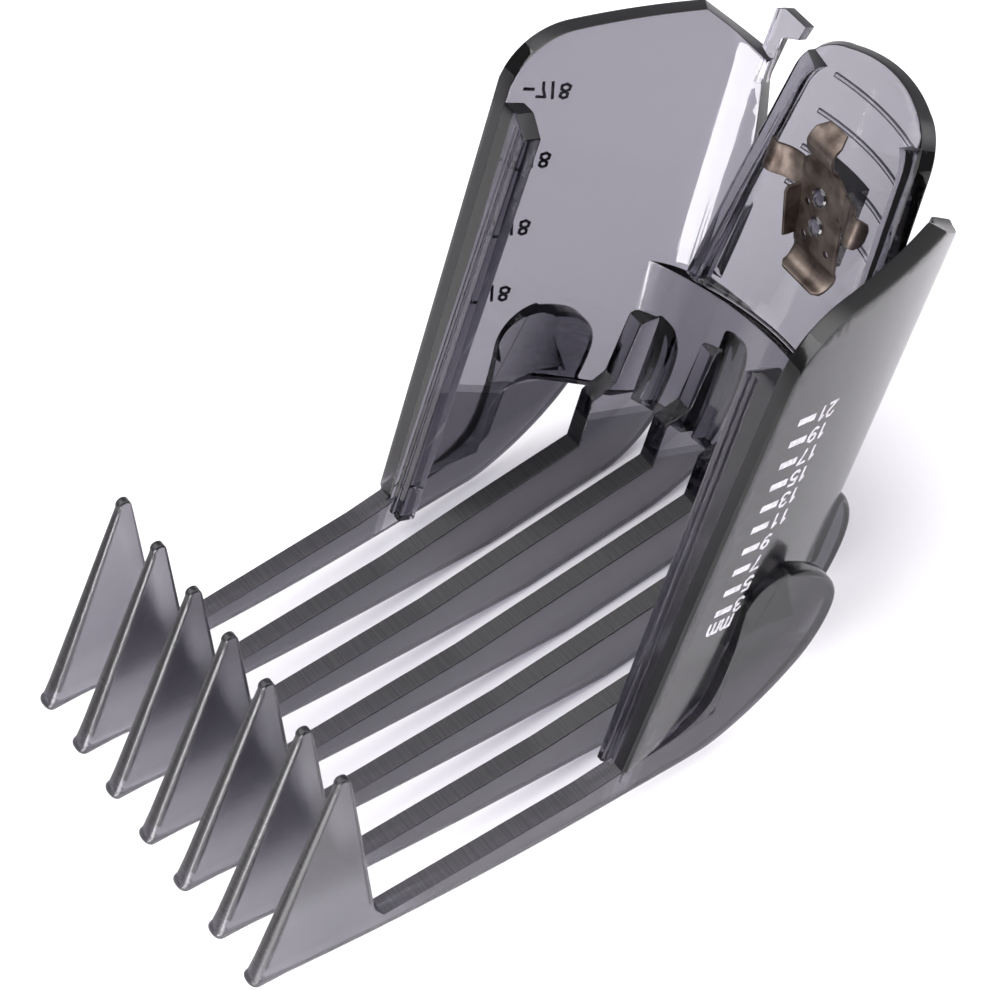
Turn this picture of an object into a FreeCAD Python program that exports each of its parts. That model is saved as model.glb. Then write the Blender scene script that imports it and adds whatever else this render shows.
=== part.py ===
"""Adjustable guide comb for a hair clipper: ribs, sleeve, spring latch and printed scales.

Millimetres. The ribs run along X from the tooth tips to the back, Y is across the comb
(left is +Y) and +Z is up. The sleeve that slides on the clipper leans back from the ribs.
Places on the sleeve are given as a (up the sleeve), d (from its front edge to its back)
and y. Everything is built in this working frame and moved once, at the end, so that the
origin is under the middle of the comb on the surface that it stands on.
"""
import FreeCAD
import Part
import math
import os

Vector = FreeCAD.Vector

# ------------------------------------------------------------------ driving dimensions
RIB_COUNT = 7
RIB_PITCH = 6.64            # across the comb, centre to centre
RIB_WIDTH = 2.1
BAR_TOP = -0.8              # height of the upper edge of the bars
BAR_DEPTH = 3.2             # depth of a bar in mid-span
SOLE = -6.6                 # lowest edge of the five inner ribs
SOLE_OUTER = -5.2           # lowest edge of the two outer ribs
SOLE_FLAT = (44.0, 57.0)    # x range over which the inner ribs rest flat
CENTER_REACH = 0.5          # how much further back the middle rib reaches
LEAN_START = 44.0           # in front of this x the ribs lean toward the middle rib
LEAN = 0.05                 # share by which the teeth stand closer together at x = 0
TOOTH_TOP_WIDTH = 0.9       # the teeth thin out from the bar's top to this at the apex
TOOTH_TIP = (0.35, 0.75)    # underside of the tooth's nose
TOOTH_APEX = (14.5, 20.0)
TOOTH_HEEL = (12.5, 0.9)    # where the tooth's rear edge meets the bar

SLEEVE_ANGLE = 58.3         # between the bars and the sleeve's axis, degrees
SLEEVE_FOOT = (37.4, -2.0)  # x, z of a = 0, d = 0
WALL = 2.0
HALF_WIDTH = 21.3           # outer, at the foot of the front edge
DRAFT = 0.04                # growth of the half width per mm up the sleeve
SIDE_RADIUS = 58.0          # the side walls are arched and converge toward the back
SIDE_TAPER = math.radians(9.0)   # by which they converge at the front edge
SLEEVE_DEPTH = 24.6         # front edge to the outside of the back
BACK_RADIUS = 46.0
CORNER_RADIUS = 8.5
RIM_CORNER = 44.0           # a at which the front edge starts to round into the rim
LOW_EDGE = 15.3             # a of the lower edge of the back wall
SIDE_FOOT_DEPTH = 8.2       # the side walls reach the ribs over this depth
WINDOW_SILL = 30.0          # a of the top of the back wall under the latch
WINDOW_HALF = 11.4          # half width of the latch window at the sill
WINDOW_HALF_TOP = 13.0

LIP_INNER = 17.2            # y of the inner edge of the guide lips
LIP_THICK = 2.0
LIP_LOW = 0.0
LIP_TOP = 45.0

TONGUE_THICK = 1.5
TONGUE_RADIUS = 20.0        # inner face, arched across the comb
TONGUE_DEPTH = 22.9         # d of the inner face on the centre line
TONGUE_ROOT_HALF = 10.9
TONGUE_TOP_HALF = 8.7
TONGUE_TOP = 60.0
ROOT_GAP = 0.35
FLANGE_THICK = 1.3
FLANGE_ROOT_DEPTH = 18.4    # d of the flanges' front edge at the tongue's root
FLANGE_TOP_DEPTH = 20.4     # and at its top

STEEL = 0.35                # spring strip thickness
SPRING_HALF = 3.1           # half width of the spring's middle strip
SEAT_GAP = 0.02             # between the spring and its seat
SEAT_HALF = 2.9
PIN_PLACES = (43.6, 46.8)   # a of the two stake pins
PIN_RADIUS = 0.7

TICK_COUNT = 10             # 3 mm to 21 mm in steps of 2 mm
TICK_START = 19.5           # a of the lowest tick
TICK_STEP = 2.42
LABEL_START = 23.8          # a of the lowest inch label
LABEL_STEP = 7.3
PRINT_THICK = 0.12

# ------------------------------------------------------------------ frame helpers
ANGLE = math.radians(SLEEVE_ANGLE)
UP = Vector(math.cos(ANGLE), 0, math.sin(ANGLE))
BACK = Vector(math.sin(ANGLE), 0, -math.cos(ANGLE))
ACROSS = Vector(0, 1, 0)
FOOT = Vector(SLEEVE_FOOT[0], 0, SLEEVE_FOOT[1])
WIDE = 60.0                 # longer than anything across the comb
DEPTH_TEST = 28.0           # deeper than the sleeve
BELOW, ABOVE = -9.0, 70.0   # a well under and over the whole sleeve


def at(a, d, y=0.0):
    """A point on the sleeve, as a vector in the working frame."""
    return FOOT + UP * a + BACK * d + ACROSS * y


def xz(x, z):
    return Vector(x, 0, z)


def arc(p, q, r):
    return Part.Arc(p, q, r).toShape()


def loop(points):
    return Part.makePolygon(list(points) + [points[0]])


def prism(wire, direction):
    return Part.Face(wire).extrude(direction)


def side_prism(points, y0, y1):
    """A prism across the comb with a polygon side view between y0 and y1."""
    shifted = [Vector(p.x, y0, p.z) for p in points]
    return prism(loop(shifted), Vector(0, y1 - y0, 0))


def front_prism(outline, d0, d1):
    """A prism along the sleeve's depth; outline holds (y, a) pairs."""
    return prism(loop([at(a, d0, y) for y, a in outline]), BACK * (d1 - d0))


def block(a0, a1, d0, d1, y0, y1):
    corners = [at(a0, d0, y0), at(a1, d0, y0), at(a1, d1, y0), at(a0, d1, y0)]
    return prism(loop(corners), Vector(0, y1 - y0, 0))


def biggest(shape):
    return max(shape.Solids, key=lambda s: s.Volume)


def mirrored(shape):
    return shape.mirror(Vector(0, 0, 0), ACROSS)


# ------------------------------------------------------------------ sleeve section
def arch_centers(half):
    """Centres (y, d) of the left side's arc and of the rounded back corner beside it.

    The corner is tangent inside to the side's arc and to the back's arc.
    """
    side = (half - SIDE_RADIUS * math.cos(SIDE_TAPER), -SIDE_RADIUS * math.sin(SIDE_TAPER))
    back = (0.0, SLEEVE_DEPTH - BACK_RADIUS)
    side_reach, back_reach = SIDE_RADIUS - CORNER_RADIUS, BACK_RADIUS - CORNER_RADIUS
    span = math.dist(side, back)
    along = (side_reach ** 2 - back_reach ** 2 + span ** 2) / (2 * span)
    rise = math.sqrt(side_reach ** 2 - along ** 2)
    u = ((back[0] - side[0]) / span, (back[1] - side[1]) / span)
    corner = (side[0] + along * u[0] - rise * u[1], side[1] + along * u[1] + rise * u[0])
    return side, corner


def section(a, offset, front):
    """Closed D-shaped section of the sleeve at height a, inset by offset.

    The section is closed by a straight line at d = front.
    """
    side, corner = arch_centers(HALF_WIDTH + DRAFT * a)
    back = (0.0, SLEEVE_DEPTH - BACK_RADIUS)

    def on_arc(center, radius, turn):
        r = radius - offset
        return center[0] + r * math.cos(turn), center[1] + r * math.sin(turn)

    first = math.asin((front - side[1]) / (SIDE_RADIUS - offset))
    second = math.atan2(corner[1] - side[1], corner[0] - side[0])
    third = math.atan2(corner[1] - back[1], corner[0])

    def p(pair, sign=1):
        return at(a, pair[1], sign * pair[0])

    start = on_arc(side, SIDE_RADIUS, first)
    side_mid = on_arc(side, SIDE_RADIUS, (first + second) / 2)
    side_end = on_arc(side, SIDE_RADIUS, second)
    mid = on_arc(corner, CORNER_RADIUS, (second + third) / 2)
    back_end = on_arc(back, BACK_RADIUS, third)
    crown = on_arc(back, BACK_RADIUS, math.pi / 2)
    edges = [
        arc(p(start), p(side_mid), p(side_end)),
        arc(p(side_end), p(mid), p(back_end)),
        arc(p(back_end), p(crown), p(back_end, -1)),
        arc(p(back_end, -1), p(mid, -1), p(side_end, -1)),
        arc(p(side_end, -1), p(side_mid, -1), p(start, -1)),
        Part.makeLine(p(start, -1), p(start)),
    ]
    return Part.Wire(edges)


def sleeve_core(offset, front):
    """The sleeve's drafted volume inside the surface that lies offset under the outside."""
    wires = [section(BELOW, offset, front), section(ABOVE, offset, front)]
    return Part.makeLoft(wires, True, True)


def sleeve_side_view():
    """Side outline of the sleeve: front edge, rounded rim corner, rim and lower edges."""
    foot_a = (BAR_TOP - SLEEVE_FOOT[1]) / UP.z
    foot = at(foot_a, 0)
    side_x = FOOT.x + (SIDE_FOOT_DEPTH - (BAR_TOP - FOOT.z) * BACK.z) / BACK.x
    heel = xz(side_x, BAR_TOP)
    rim_start, rim_mid, rim_end = at(RIM_CORNER, 0), at(50.0, 1.5), at(52.6, 5.0)
    rim_back, rim_far = at(56.4, 16.5), at(50.2, DEPTH_TEST)
    low_far = at(LOW_EDGE, DEPTH_TEST)
    low_near = at(LOW_EDGE, SIDE_FOOT_DEPTH + 4.0)
    low_mid = at(LOW_EDGE - 1.2, SIDE_FOOT_DEPTH + 1.1)
    low_end = at(LOW_EDGE - 4.0, SIDE_FOOT_DEPTH)
    edges = [
        Part.makeLine(foot, rim_start),
        arc(rim_start, rim_mid, rim_end),
        Part.makeLine(rim_end, rim_back),
        Part.makeLine(rim_back, rim_far),
        Part.makeLine(rim_far, low_far),
        Part.makeLine(low_far, low_near),
        arc(low_near, low_mid, low_end),
        Part.makeLine(low_end, heel),
        Part.makeLine(heel, foot),
    ]
    wire = Part.Wire(edges)
    wire.translate(Vector(0, -WIDE / 2, 0))
    return prism(wire, Vector(0, WIDE, 0))


def window_cut():
    half, top = WINDOW_HALF, WINDOW_HALF_TOP
    outline = [(half, WINDOW_SILL), (half, 45.0), (top, 51.0), (top, 62.0)]
    outline += [(-y, a) for y, a in reversed(outline)]
    return front_prism(outline, 17.0, 30.0)


# ------------------------------------------------------------------ ribs
def rib_center(number):
    """Rib 1 is the left one, at +Y."""
    return (4 - number) * RIB_PITCH


def fin_points(number):
    """Underside and rounded rear fin of a rib, from the sole to the top of the fin."""
    place = abs(number - 4)
    start = (SOLE_FLAT[1], SOLE)
    if place == 3:
        return [(46.0, SOLE_OUTER), (50.2, -4.5), (54.4, -3.0), (58.4, -0.8), (61.2, 1.9),
                (62.5, 4.6), (61.9, 7.4), (60.2, 9.6), (57.6, 11.2)]
    if place == 2:
        return [start, (61.0, -5.5), (64.4, -3.1), (67.2, 0.2), (68.7, 3.3), (68.7, 6.2),
                (67.4, 8.5), (65.6, 9.6)]
    reach = CENTER_REACH if place == 0 else 0.0
    rear = [(63.5, -5.4), (67.3, -3.0), (70.2, 0.3), (72.2, 4.0), (72.6, 6.3), (71.9, 8.0),
            (70.4, 8.8)]
    return [start] + [(x + reach, z) for x, z in rear]


def inner_points(number):
    """Upper edge of a rib inside the sleeve, from the bar up to the inner wall."""
    place = abs(number - 4)
    if place == 3:
        return [(48.0, BAR_TOP), (50.7, 4.0), (52.4, 5.6)]
    if place == 2:
        return [(55.2, BAR_TOP), (57.9, 3.9), (60.7, 4.4), (64.6, 9.7)]
    reach = CENTER_REACH if place == 0 else 0.0
    line = [(59.2, BAR_TOP), (61.6, 3.2), (64.4, 3.4), (68.0, 8.3)]
    return [(x + reach, z) for x, z in line]


def tooth_edges(start):
    """Nose, leading edge, rounded apex and rear edge of a tooth, then the bar's top."""
    nose_top = (0.4, 2.1)
    nose_mid = (-0.2, 1.35)
    lead_end = (TOOTH_APEX[0] - 0.9, TOOTH_APEX[1] - 0.55)
    apex_end = (TOOTH_APEX[0] + 0.5, TOOTH_APEX[1] - 0.8)
    heel_start = (TOOTH_HEEL[0] + 0.08, TOOTH_HEEL[1] + 0.7)
    heel_end = (TOOTH_HEEL[0] + 0.6, TOOTH_HEEL[1] - 0.6)
    bar_mid = (34.0, BAR_TOP - 0.2)
    line = Part.makeLine
    return [
        arc(xz(*start), xz(*nose_mid), xz(*nose_top)),
        line(xz(*nose_top), xz(*lead_end)),
        arc(xz(*lead_end), xz(*TOOTH_APEX), xz(*apex_end)),
        line(xz(*apex_end), xz(*heel_start)),
        line(xz(*heel_start), xz(*heel_end)),
        line(xz(*heel_end), xz(*bar_mid)),
    ], bar_mid


def rib_outline(number):
    """Closed side view of one rib: tooth, bar, riser inside the sleeve, fin and sole."""
    edges, bar_mid = tooth_edges(TOOTH_TIP)
    inner = [xz(*p) for p in inner_points(number)]
    edges.append(Part.makeLine(xz(*bar_mid), inner[0]))
    edges += [Part.makeLine(p, q) for p, q in zip(inner, inner[1:])]
    fin = [xz(*p) for p in fin_points(number)]
    edges.append(Part.makeLine(inner[-1], fin[-1]))
    curve = Part.BSplineCurve()
    curve.interpolate(Points=fin, InitialTangent=Vector(1, 0, 0), FinalTangent=Vector(-1, 0, 0.4))
    edges.append(curve.toShape())
    outer = abs(number - 4) == 3
    sole = SOLE_OUTER if outer else SOLE
    flat_start = fin[0] if outer else xz(SOLE_FLAT[0], sole)
    if not outer:
        edges.append(Part.makeLine(fin[0], flat_start))
    bar_low = xz(24.5, BAR_TOP - BAR_DEPTH + (0.4 if outer else 0.0))
    edges.append(arc(flat_start, bar_low, xz(*TOOTH_TIP)))
    return Part.Wire(Part.__sortEdges__(edges))


def outer_web(number):
    """Joins the plate of an outer rib to the tapering side of the sleeve."""
    start, bend = xz(43.6, BAR_TOP), xz(53.0, 8.8)
    front = Part.BSplineCurve()
    front.interpolate([start, xz(46.1, -0.3), xz(48.5, 1.3), xz(51.2, 5.2), bend])
    top_end = xz(58.4, 11.0)
    corners = [top_end, at(16.0, 14.5), at(LOW_EDGE, 9.2), at(8.0, 8.8), at(5.6, 7.6), start]
    edges = [front.toShape(), arc(bend, xz(54.6, 10.7), top_end)]
    edges += [Part.makeLine(p, q) for p, q in zip(corners, corners[1:])]
    wire = Part.Wire(edges)
    inner = 13.0
    wire.translate(Vector(0, inner, 0))
    web = prism(wire, Vector(0, rib_center(1) + RIB_WIDTH / 2 - inner, 0))
    return web if number < 4 else mirrored(web)


def rib_plan(number, z, tooth_width):
    """Closed plan view of one rib at height z; its tooth may be thinner than the rest."""
    center = rib_center(number)
    front, tooth_end, bar_start, rear = -1.0, 15.5, 16.5, 76.0
    stations = [(front, tooth_width), (tooth_end, tooth_width), (bar_start, RIB_WIDTH),
                (LEAN_START, RIB_WIDTH), (rear, RIB_WIDTH)]
    left, right = [], []
    for x, width in stations:
        middle = center * (1 - LEAN * max(0.0, LEAN_START - x) / LEAN_START)
        left.append(Vector(x, middle + width / 2, z))
        right.append(Vector(x, middle - width / 2, z))
    return loop(left + right[::-1])


def rib_envelope(number):
    """Everything between a rib's two side faces, which draw together above the waist."""
    bottom, waist, top = SOLE - 2.0, BAR_TOP + 1.8, TOOTH_APEX[1] + 1.0
    base = prism(rib_plan(number, bottom, RIB_WIDTH), Vector(0, 0, waist - bottom))
    plans = [rib_plan(number, waist, RIB_WIDTH), rib_plan(number, top, TOOTH_TOP_WIDTH)]
    return base.fuse(Part.makeLoft(plans, True, True))


def make_rib(number, outside, inside):
    face = Part.Face(rib_outline(number))
    face.translate(Vector(0, -WIDE / 2, 0))
    rib = face.extrude(Vector(0, WIDE, 0)).common(rib_envelope(number))
    wall_zone = outside.cut(inside).common(sleeve_side_view())
    if abs(number - 4) == 3:
        web = outer_web(number).cut(outside)
        rib = rib.fuse(web)
    return biggest(rib.cut(wall_zone).removeSplitter())


# ------------------------------------------------------------------ sleeve pieces
def make_sleeve(outside, inside):
    """Left wall, right wall and back wall, split on planes beside the back."""
    shell = outside.cut(inside).common(sleeve_side_view()).cut(window_cut())
    split = WINDOW_HALF + 0.1
    front, rear = -9.0, 40.0
    left = biggest(shell.common(block(BELOW, ABOVE, front, rear, split, WIDE)))
    back = biggest(shell.common(block(BELOW, ABOVE, front, rear, -split, split)))
    return left, mirrored(left), back


def make_back_step(inside):
    """Thicker lower part of the back wall; its top is the ledge under the latch."""
    half, edge_depth, crown = 13.6, 17.2, SLEEVE_DEPTH - WALL - 0.5
    sag = crown - edge_depth
    radius = (half ** 2 + sag ** 2) / (2 * sag)
    low, high = LOW_EDGE, WINDOW_SILL
    disc = Part.Face(Part.Wire(Part.makeCircle(radius, at(low - 1, crown - radius), UP)))
    bore = disc.extrude(UP * (high - low + 2))
    slab = block(low, high, edge_depth - 1.0, DEPTH_TEST, -half, half)
    return biggest(slab.common(inside).cut(bore))


def make_lip(inside, rib):
    """Left guide lip: inward flange of the front edge with long grooves on its face."""
    top = LIP_TOP
    body = front_prism([(LIP_INNER, LIP_LOW), (LIP_INNER, top - 1.6), (LIP_INNER + 2.0, top),
                        (24.0, top), (24.0, LIP_LOW)], 0.0, LIP_THICK)
    body = body.common(inside)
    groove_depth = 0.3
    for y in (LIP_INNER + 0.7, LIP_INNER + 1.5):
        body = body.cut(block(-2.0, top - 1.0, -0.1, groove_depth, y, y + 0.45))
    return biggest(body.cut(rib))


def make_stop_lug():
    """Small clear lug on the left wall's end, beside the top of the latch."""
    outline = [(14.0, 52.5), (14.0, 57.6), (12.9, 58.3), (9.8, 58.3), (10.2, 56.7), (12.3, 55.6),
               (13.0, 50.0), (14.0, 50.0)]
    return front_prism(outline, 21.2, 22.3)


# ------------------------------------------------------------------ latch
def tongue_prism(d0, d1, inset=0.0):
    """Front view of the tongue, wide at its root and rounded at the top, from d0 to d1."""
    root_half, top_half = TONGUE_ROOT_HALF - inset, TONGUE_TOP_HALF - inset
    root, top = WINDOW_SILL + ROOT_GAP, TONGUE_TOP - inset
    corner, crown_drop = 3.6, 1.3
    waist = (root_half - 0.9, 42.0)
    shoulder = (top_half, top - crown_drop - corner)
    bend = (top_half - 0.29 * corner, top - crown_drop - 0.29 * corner)
    crown_edge = (top_half - corner, top - crown_drop + 0.45)

    def p(pair, sign=1):
        return at(pair[1], d0, sign * pair[0])

    edges = [Part.makeLine(p((root_half, root), -1), p((root_half, root)))]
    for sign in (1, -1):
        edges.append(Part.makeLine(p((root_half, root), sign), p(waist, sign)))
        edges.append(Part.makeLine(p(waist, sign), p(shoulder, sign)))
        edges.append(arc(p(shoulder, sign), p(bend, sign), p(crown_edge, sign)))
    edges.append(arc(p(crown_edge), p((0.0, top)), p(crown_edge, -1)))
    return prism(Part.Wire(Part.__sortEdges__(edges)), BACK * (d1 - d0))


def tongue_ring(inner, outer):
    """Arched shell of the tongue between two radii about one centre line."""
    center = TONGUE_DEPTH - TONGUE_RADIUS
    base = at(WINDOW_SILL - 1, center)
    length = UP * (TONGUE_TOP - WINDOW_SILL + 3)
    big = Part.Face(Part.Wire(Part.makeCircle(outer, base, UP))).extrude(length)
    small = Part.Face(Part.Wire(Part.makeCircle(inner, base, UP))).extrude(length)
    return big.cut(small)


def make_tongue():
    sheet = tongue_ring(TONGUE_RADIUS, TONGUE_RADIUS + TONGUE_THICK)
    return biggest(sheet.common(tongue_prism(15.0, 27.0)))


def make_flange():
    """Left side flange of the tongue, in front of the arched sheet and deepest at its root."""
    front = FLANGE_ROOT_DEPTH
    rim = tongue_prism(front - 1, TONGUE_DEPTH)
    rim = rim.cut(tongue_prism(front - 2, TONGUE_DEPTH + 1, FLANGE_THICK))
    low, high = WINDOW_SILL + 0.6, TONGUE_TOP - 2.6
    side = [at(low, front), at(high, FLANGE_TOP_DEPTH), at(high, 27.0), at(low, 27.0)]
    keep = side_prism(side, 5.0, 14.0)
    inner = tongue_ring(TONGUE_RADIUS, TONGUE_RADIUS + 6)
    return biggest(rim.common(keep).cut(inner))


def make_grip_ridges():
    """Four thin ridges across the outer face of the tongue."""
    ridges = []
    height, width = 0.5, 0.4
    sheet = tongue_ring(TONGUE_RADIUS + TONGUE_THICK, TONGUE_RADIUS + TONGUE_THICK + height)
    for index in range(4):
        a = 55.4 - 4.0 * index
        half = 6.4 + 0.3 * index
        ridges.append(biggest(sheet.common(block(a, a + width, 20.0, 27.0, -half, half))))
    return Part.makeCompound(ridges)


# spring path in (a, d): foot hook, inclined plate and the shoulder under the nose
PLATE_LOW = (40.2, 22.0)
PLATE_HIGH = (50.2, 19.4)
HOOK_END = (38.2, 21.3)
NOSE_TIP = (52.3, 17.7)
NOSE_END = (54.4, 19.3)
SEAT_LOW = 41.0
SEAT_HIGH = 49.4


def strip(points, half, thick=STEEL):
    """A bent strip across the comb; points are (a, d) pairs on its front face."""
    back = [(a + 0.1 * thick, d + thick) for a, d in reversed(points)]
    outline = [at(a, d) for a, d in list(points) + back]
    return side_prism(outline, -half, half)


def make_spring_plate():
    points = [HOOK_END, (39.0, 22.1), PLATE_LOW, PLATE_HIGH]
    plate = strip(points, SPRING_HALF)
    for a in PIN_PLACES:
        hole = Part.makeCylinder(PIN_RADIUS + 0.05, 4.0, at(a, plate_depth(a) - 0.5), BACK)
        plate = plate.cut(hole)
    return biggest(plate)


def plate_depth(a):
    share = (a - PLATE_LOW[0]) / (PLATE_HIGH[0] - PLATE_LOW[0])
    return PLATE_LOW[1] + share * (PLATE_HIGH[1] - PLATE_LOW[1])


def make_stake_pins(seat, plate):
    """Two moulded pins whose melted heads hold the spring on its seat."""
    pins = []
    for a in PIN_PLACES:
        front = plate_depth(a) - 0.45
        shank = Part.makeCylinder(PIN_RADIUS, 1.45, at(a, front), BACK)
        head = Part.makeSphere(1.05, at(a, front + 0.65))
        cap = block(a - 2, a + 2, front - 1.0, plate_depth(a) - 0.15, -2, 2)
        pins.append(biggest(shank.fuse(head.common(cap)).cut(seat).cut(plate)))
    return Part.makeCompound(pins)


def make_spring_seat():
    """Wedge on the tongue's inner face that carries the spring."""
    gap = STEEL + SEAT_GAP
    low, high = SEAT_LOW, SEAT_HIGH
    points = [at(low, plate_depth(low) + gap), at(high, plate_depth(high) + gap),
              at(high, TONGUE_DEPTH + 1), at(low, TONGUE_DEPTH + 1)]
    wedge = side_prism(points, -SEAT_HALF, SEAT_HALF)
    center = TONGUE_DEPTH - TONGUE_RADIUS
    base = at(WINDOW_SILL, center)
    inner = Part.Face(Part.Wire(Part.makeCircle(TONGUE_RADIUS, base, UP))).extrude(UP * 30)
    return biggest(wedge.common(inner))


def make_spring_arm():
    """Left curled arm of the spring: a strip that rolls from the plate toward the wall."""
    low, high = 46.0, 49.2
    d0 = plate_depth(47.6)
    outer = [(SPRING_HALF, d0), (4.6, d0 - 0.5), (5.7, d0 - 1.7), (6.8, d0 - 1.5), (7.3, d0 - 0.3)]
    inner = [(y - 0.12, d + STEEL) for y, d in reversed(outer[1:])]
    outline = outer + inner + [(SPRING_HALF, d0 + STEEL)]
    wire = loop([at(low, d, y) for y, d in outline])
    return prism(wire, UP * (high - low))


def make_spring_nose():
    gap = 0.12
    start = (PLATE_HIGH[0] + gap, PLATE_HIGH[1] - 0.05)
    return strip([start, NOSE_TIP, NOSE_END], 1.9)


# ------------------------------------------------------------------ printed scales
DIGIT_STROKES = {
    "0": "abcdef", "1": "bc", "2": "abged", "3": "abgcd", "4": "fgbc", "5": "afgcd",
    "6": "afgedc", "7": "abc", "8": "abcdefg", "9": "abcdfg", "/": "/", "m": "m",
}
GLYPH_W = 1.0
GLYPH_H = 1.5
GLYPH_GAP = 0.3
STROKE = 0.26


def stroke_rects(char):
    """Rectangles (u0, v0, u1, v1) of one character, u to the right and v up."""
    w, h, s = GLYPH_W, GLYPH_H, STROKE
    bars = {
        "a": (0, h - s, w, h), "b": (w - s, h / 2, w, h), "c": (w - s, 0, w, h / 2),
        "d": (0, 0, w, s), "e": (0, 0, s, h / 2), "f": (0, h / 2, s, h),
        "g": (0, h / 2 - s / 2, w, h / 2 + s / 2),
    }
    if char == "m":
        return [(0, 0, s, h * 0.7), (0, h * 0.7 - s, w, h * 0.7), (w - s, 0, w, h * 0.7),
                (w / 2 - s / 2, 0, w / 2 + s / 2, h * 0.7)]
    if char == "/":
        steps = 4
        return [(w * i / steps, h * i / steps, w * i / steps + s * 1.2, h * (i + 1) / steps)
                for i in range(steps)]
    return [bars[name] for name in DIGIT_STROKES[char]]


def side_turn(d):
    """Angle by which the outer side surface converges at depth d."""
    return math.asin(math.sin(SIDE_TAPER) + d / SIDE_RADIUS)


def side_point(a, d, side):
    """A point on the outer side surface of the sleeve."""
    drop = SIDE_RADIUS * (math.cos(SIDE_TAPER) - math.cos(side_turn(d)))
    return at(a, d, side * (HALF_WIDTH + DRAFT * a - drop))


def print_patch(a, d, du, dv, side, mid):
    """A thin printed rectangle, du toward the back and dv up the sleeve.

    It lies in the plane that touches the outer side surface at depth mid.
    """
    turn = side_turn(mid)
    along = BACK * math.cos(turn) - ACROSS * (side * math.sin(turn))
    rise = UP + ACROSS * (side * DRAFT)
    normal = rise.cross(along)
    normal.normalize()
    if normal.y * side < 0:
        normal = normal * -1
    start = side_point(a, mid, side) + along * (d - mid)
    corners = [start, start + along * du, start + along * du + rise * dv, start + rise * dv]
    return prism(loop(corners), normal * PRINT_THICK)


def printed_text(text, a, d, side):
    """Characters that stand upright with the teeth held up; d is their frontmost place."""
    patches = []
    advance = GLYPH_W + GLYPH_GAP
    for index, char in enumerate(text):
        place = index if side > 0 else len(text) - 1 - index
        front = d + place * advance
        for u0, v0, u1, v1 in stroke_rects(char):
            u = u0 if side > 0 else GLYPH_W - u1
            patches.append(print_patch(a + GLYPH_H - v1, front + u, u1 - u0, v1 - v0, side,
                                       front + GLYPH_W / 2))
    return patches


def printed_tick(a, d, length, height, side):
    return print_patch(a - height / 2, d, length, height, side, d + length / 2)


def make_mm_scale():
    tick_front, tick_length, tick_height, label_front = 3.1, 2.2, 0.8, 5.8
    patches = []
    for index in range(TICK_COUNT):
        a = TICK_START + TICK_STEP * index
        patches.append(printed_tick(a, tick_front, tick_length, tick_height, -1))
        patches += printed_text(str(3 + 2 * index), a - GLYPH_H / 2, label_front, -1)
    patches += printed_text("mm", TICK_START - TICK_STEP - 0.5, tick_front, -1)
    return Part.makeCompound(merged(patches))


def make_inch_scale():
    tick_front, tick_length, tick_height, label_front = 2.4, 1.1, 0.35, 3.9
    patches = []
    for index, label in enumerate(("1/8", "3/8", "5/8", "7/8")):
        a = LABEL_START + LABEL_STEP * index
        patches.append(printed_tick(a, tick_front, tick_length, tick_height, 1))
        patches += printed_text(label, a - GLYPH_H / 2, label_front, 1)
    return Part.makeCompound(merged(patches))


def merged(patches):
    """Overlapping patches become one solid, so that no two solids share volume."""
    result = patches[0].multiFuse(patches[1:])
    return result.removeSplitter().Solids


# ------------------------------------------------------------------ assembly
def build_nodes():
    outside = sleeve_core(0.0, -1.0)
    inside = sleeve_core(WALL, -2.0)
    nodes = {}
    for number in range(1, RIB_COUNT + 1):
        nodes["rib_%d" % number] = make_rib(number, outside, inside)
    left, right, back = make_sleeve(outside, inside)
    nodes["side_wall_left"], nodes["side_wall_right"], nodes["back_wall"] = left, right, back
    step = make_back_step(inside)
    for number in range(1, RIB_COUNT + 1):
        step = step.cut(nodes["rib_%d" % number])
    nodes["back_step"] = step
    lip = make_lip(inside, nodes["rib_1"])
    nodes["guide_lip_left"], nodes["guide_lip_right"] = lip, mirrored(lip)
    nodes["stop_lug"] = make_stop_lug().cut(left)
    tongue = make_tongue()
    flange = make_flange()
    nodes["latch_tongue"] = tongue
    nodes["latch_flange_left"], nodes["latch_flange_right"] = flange, mirrored(flange)
    nodes["grip_ridges"] = make_grip_ridges()
    seat = make_spring_seat()
    nodes["spring_seat"] = seat
    plate = make_spring_plate()
    nodes["click_spring"] = plate
    arm = make_spring_arm()
    nodes["spring_arm_left"], nodes["spring_arm_right"] = arm, mirrored(arm)
    nodes["stake_pins"] = make_stake_pins(seat, plate)
    nodes["spring_nose"] = make_spring_nose()
    nodes["mm_scale"] = make_mm_scale()
    nodes["inch_scale"] = make_inch_scale()
    return nodes


def to_part_frame(nodes):
    """Move everything so that the box's bottom centre is the origin."""
    box = Part.makeCompound(list(nodes.values())).optimalBoundingBox(False, False)
    shift = Vector(-(box.XMin + box.XMax) / 2, 0, -box.ZMin)
    for shape in nodes.values():
        shape.translate(shift)
    return shift


def main():
    nodes = build_nodes()
    shift = to_part_frame(nodes)
    print("shift from working frame", [round(v, 3) for v in shift])
    os.makedirs("parts", exist_ok=True)
    total = 0.0
    moment = Vector(0, 0, 0)
    for name, shape in nodes.items():
        if not shape.isValid():
            print("INVALID", name)
        total += shape.Volume
        for solid in shape.Solids:
            moment += solid.CenterOfMass * solid.Volume
        print("%-20s solids %3d  volume %8.1f" % (name, len(shape.Solids), shape.Volume))
        shape.exportStep("parts/%s.step" % name)
    print("centre of mass", [round(v / total, 2) for v in moment], "volume", round(total))
    box = Part.makeCompound(list(nodes.values())).optimalBoundingBox(False, False)
    print("box", round(box.XLength, 2), round(box.YLength, 2), round(box.ZLength, 2))


main()
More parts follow.
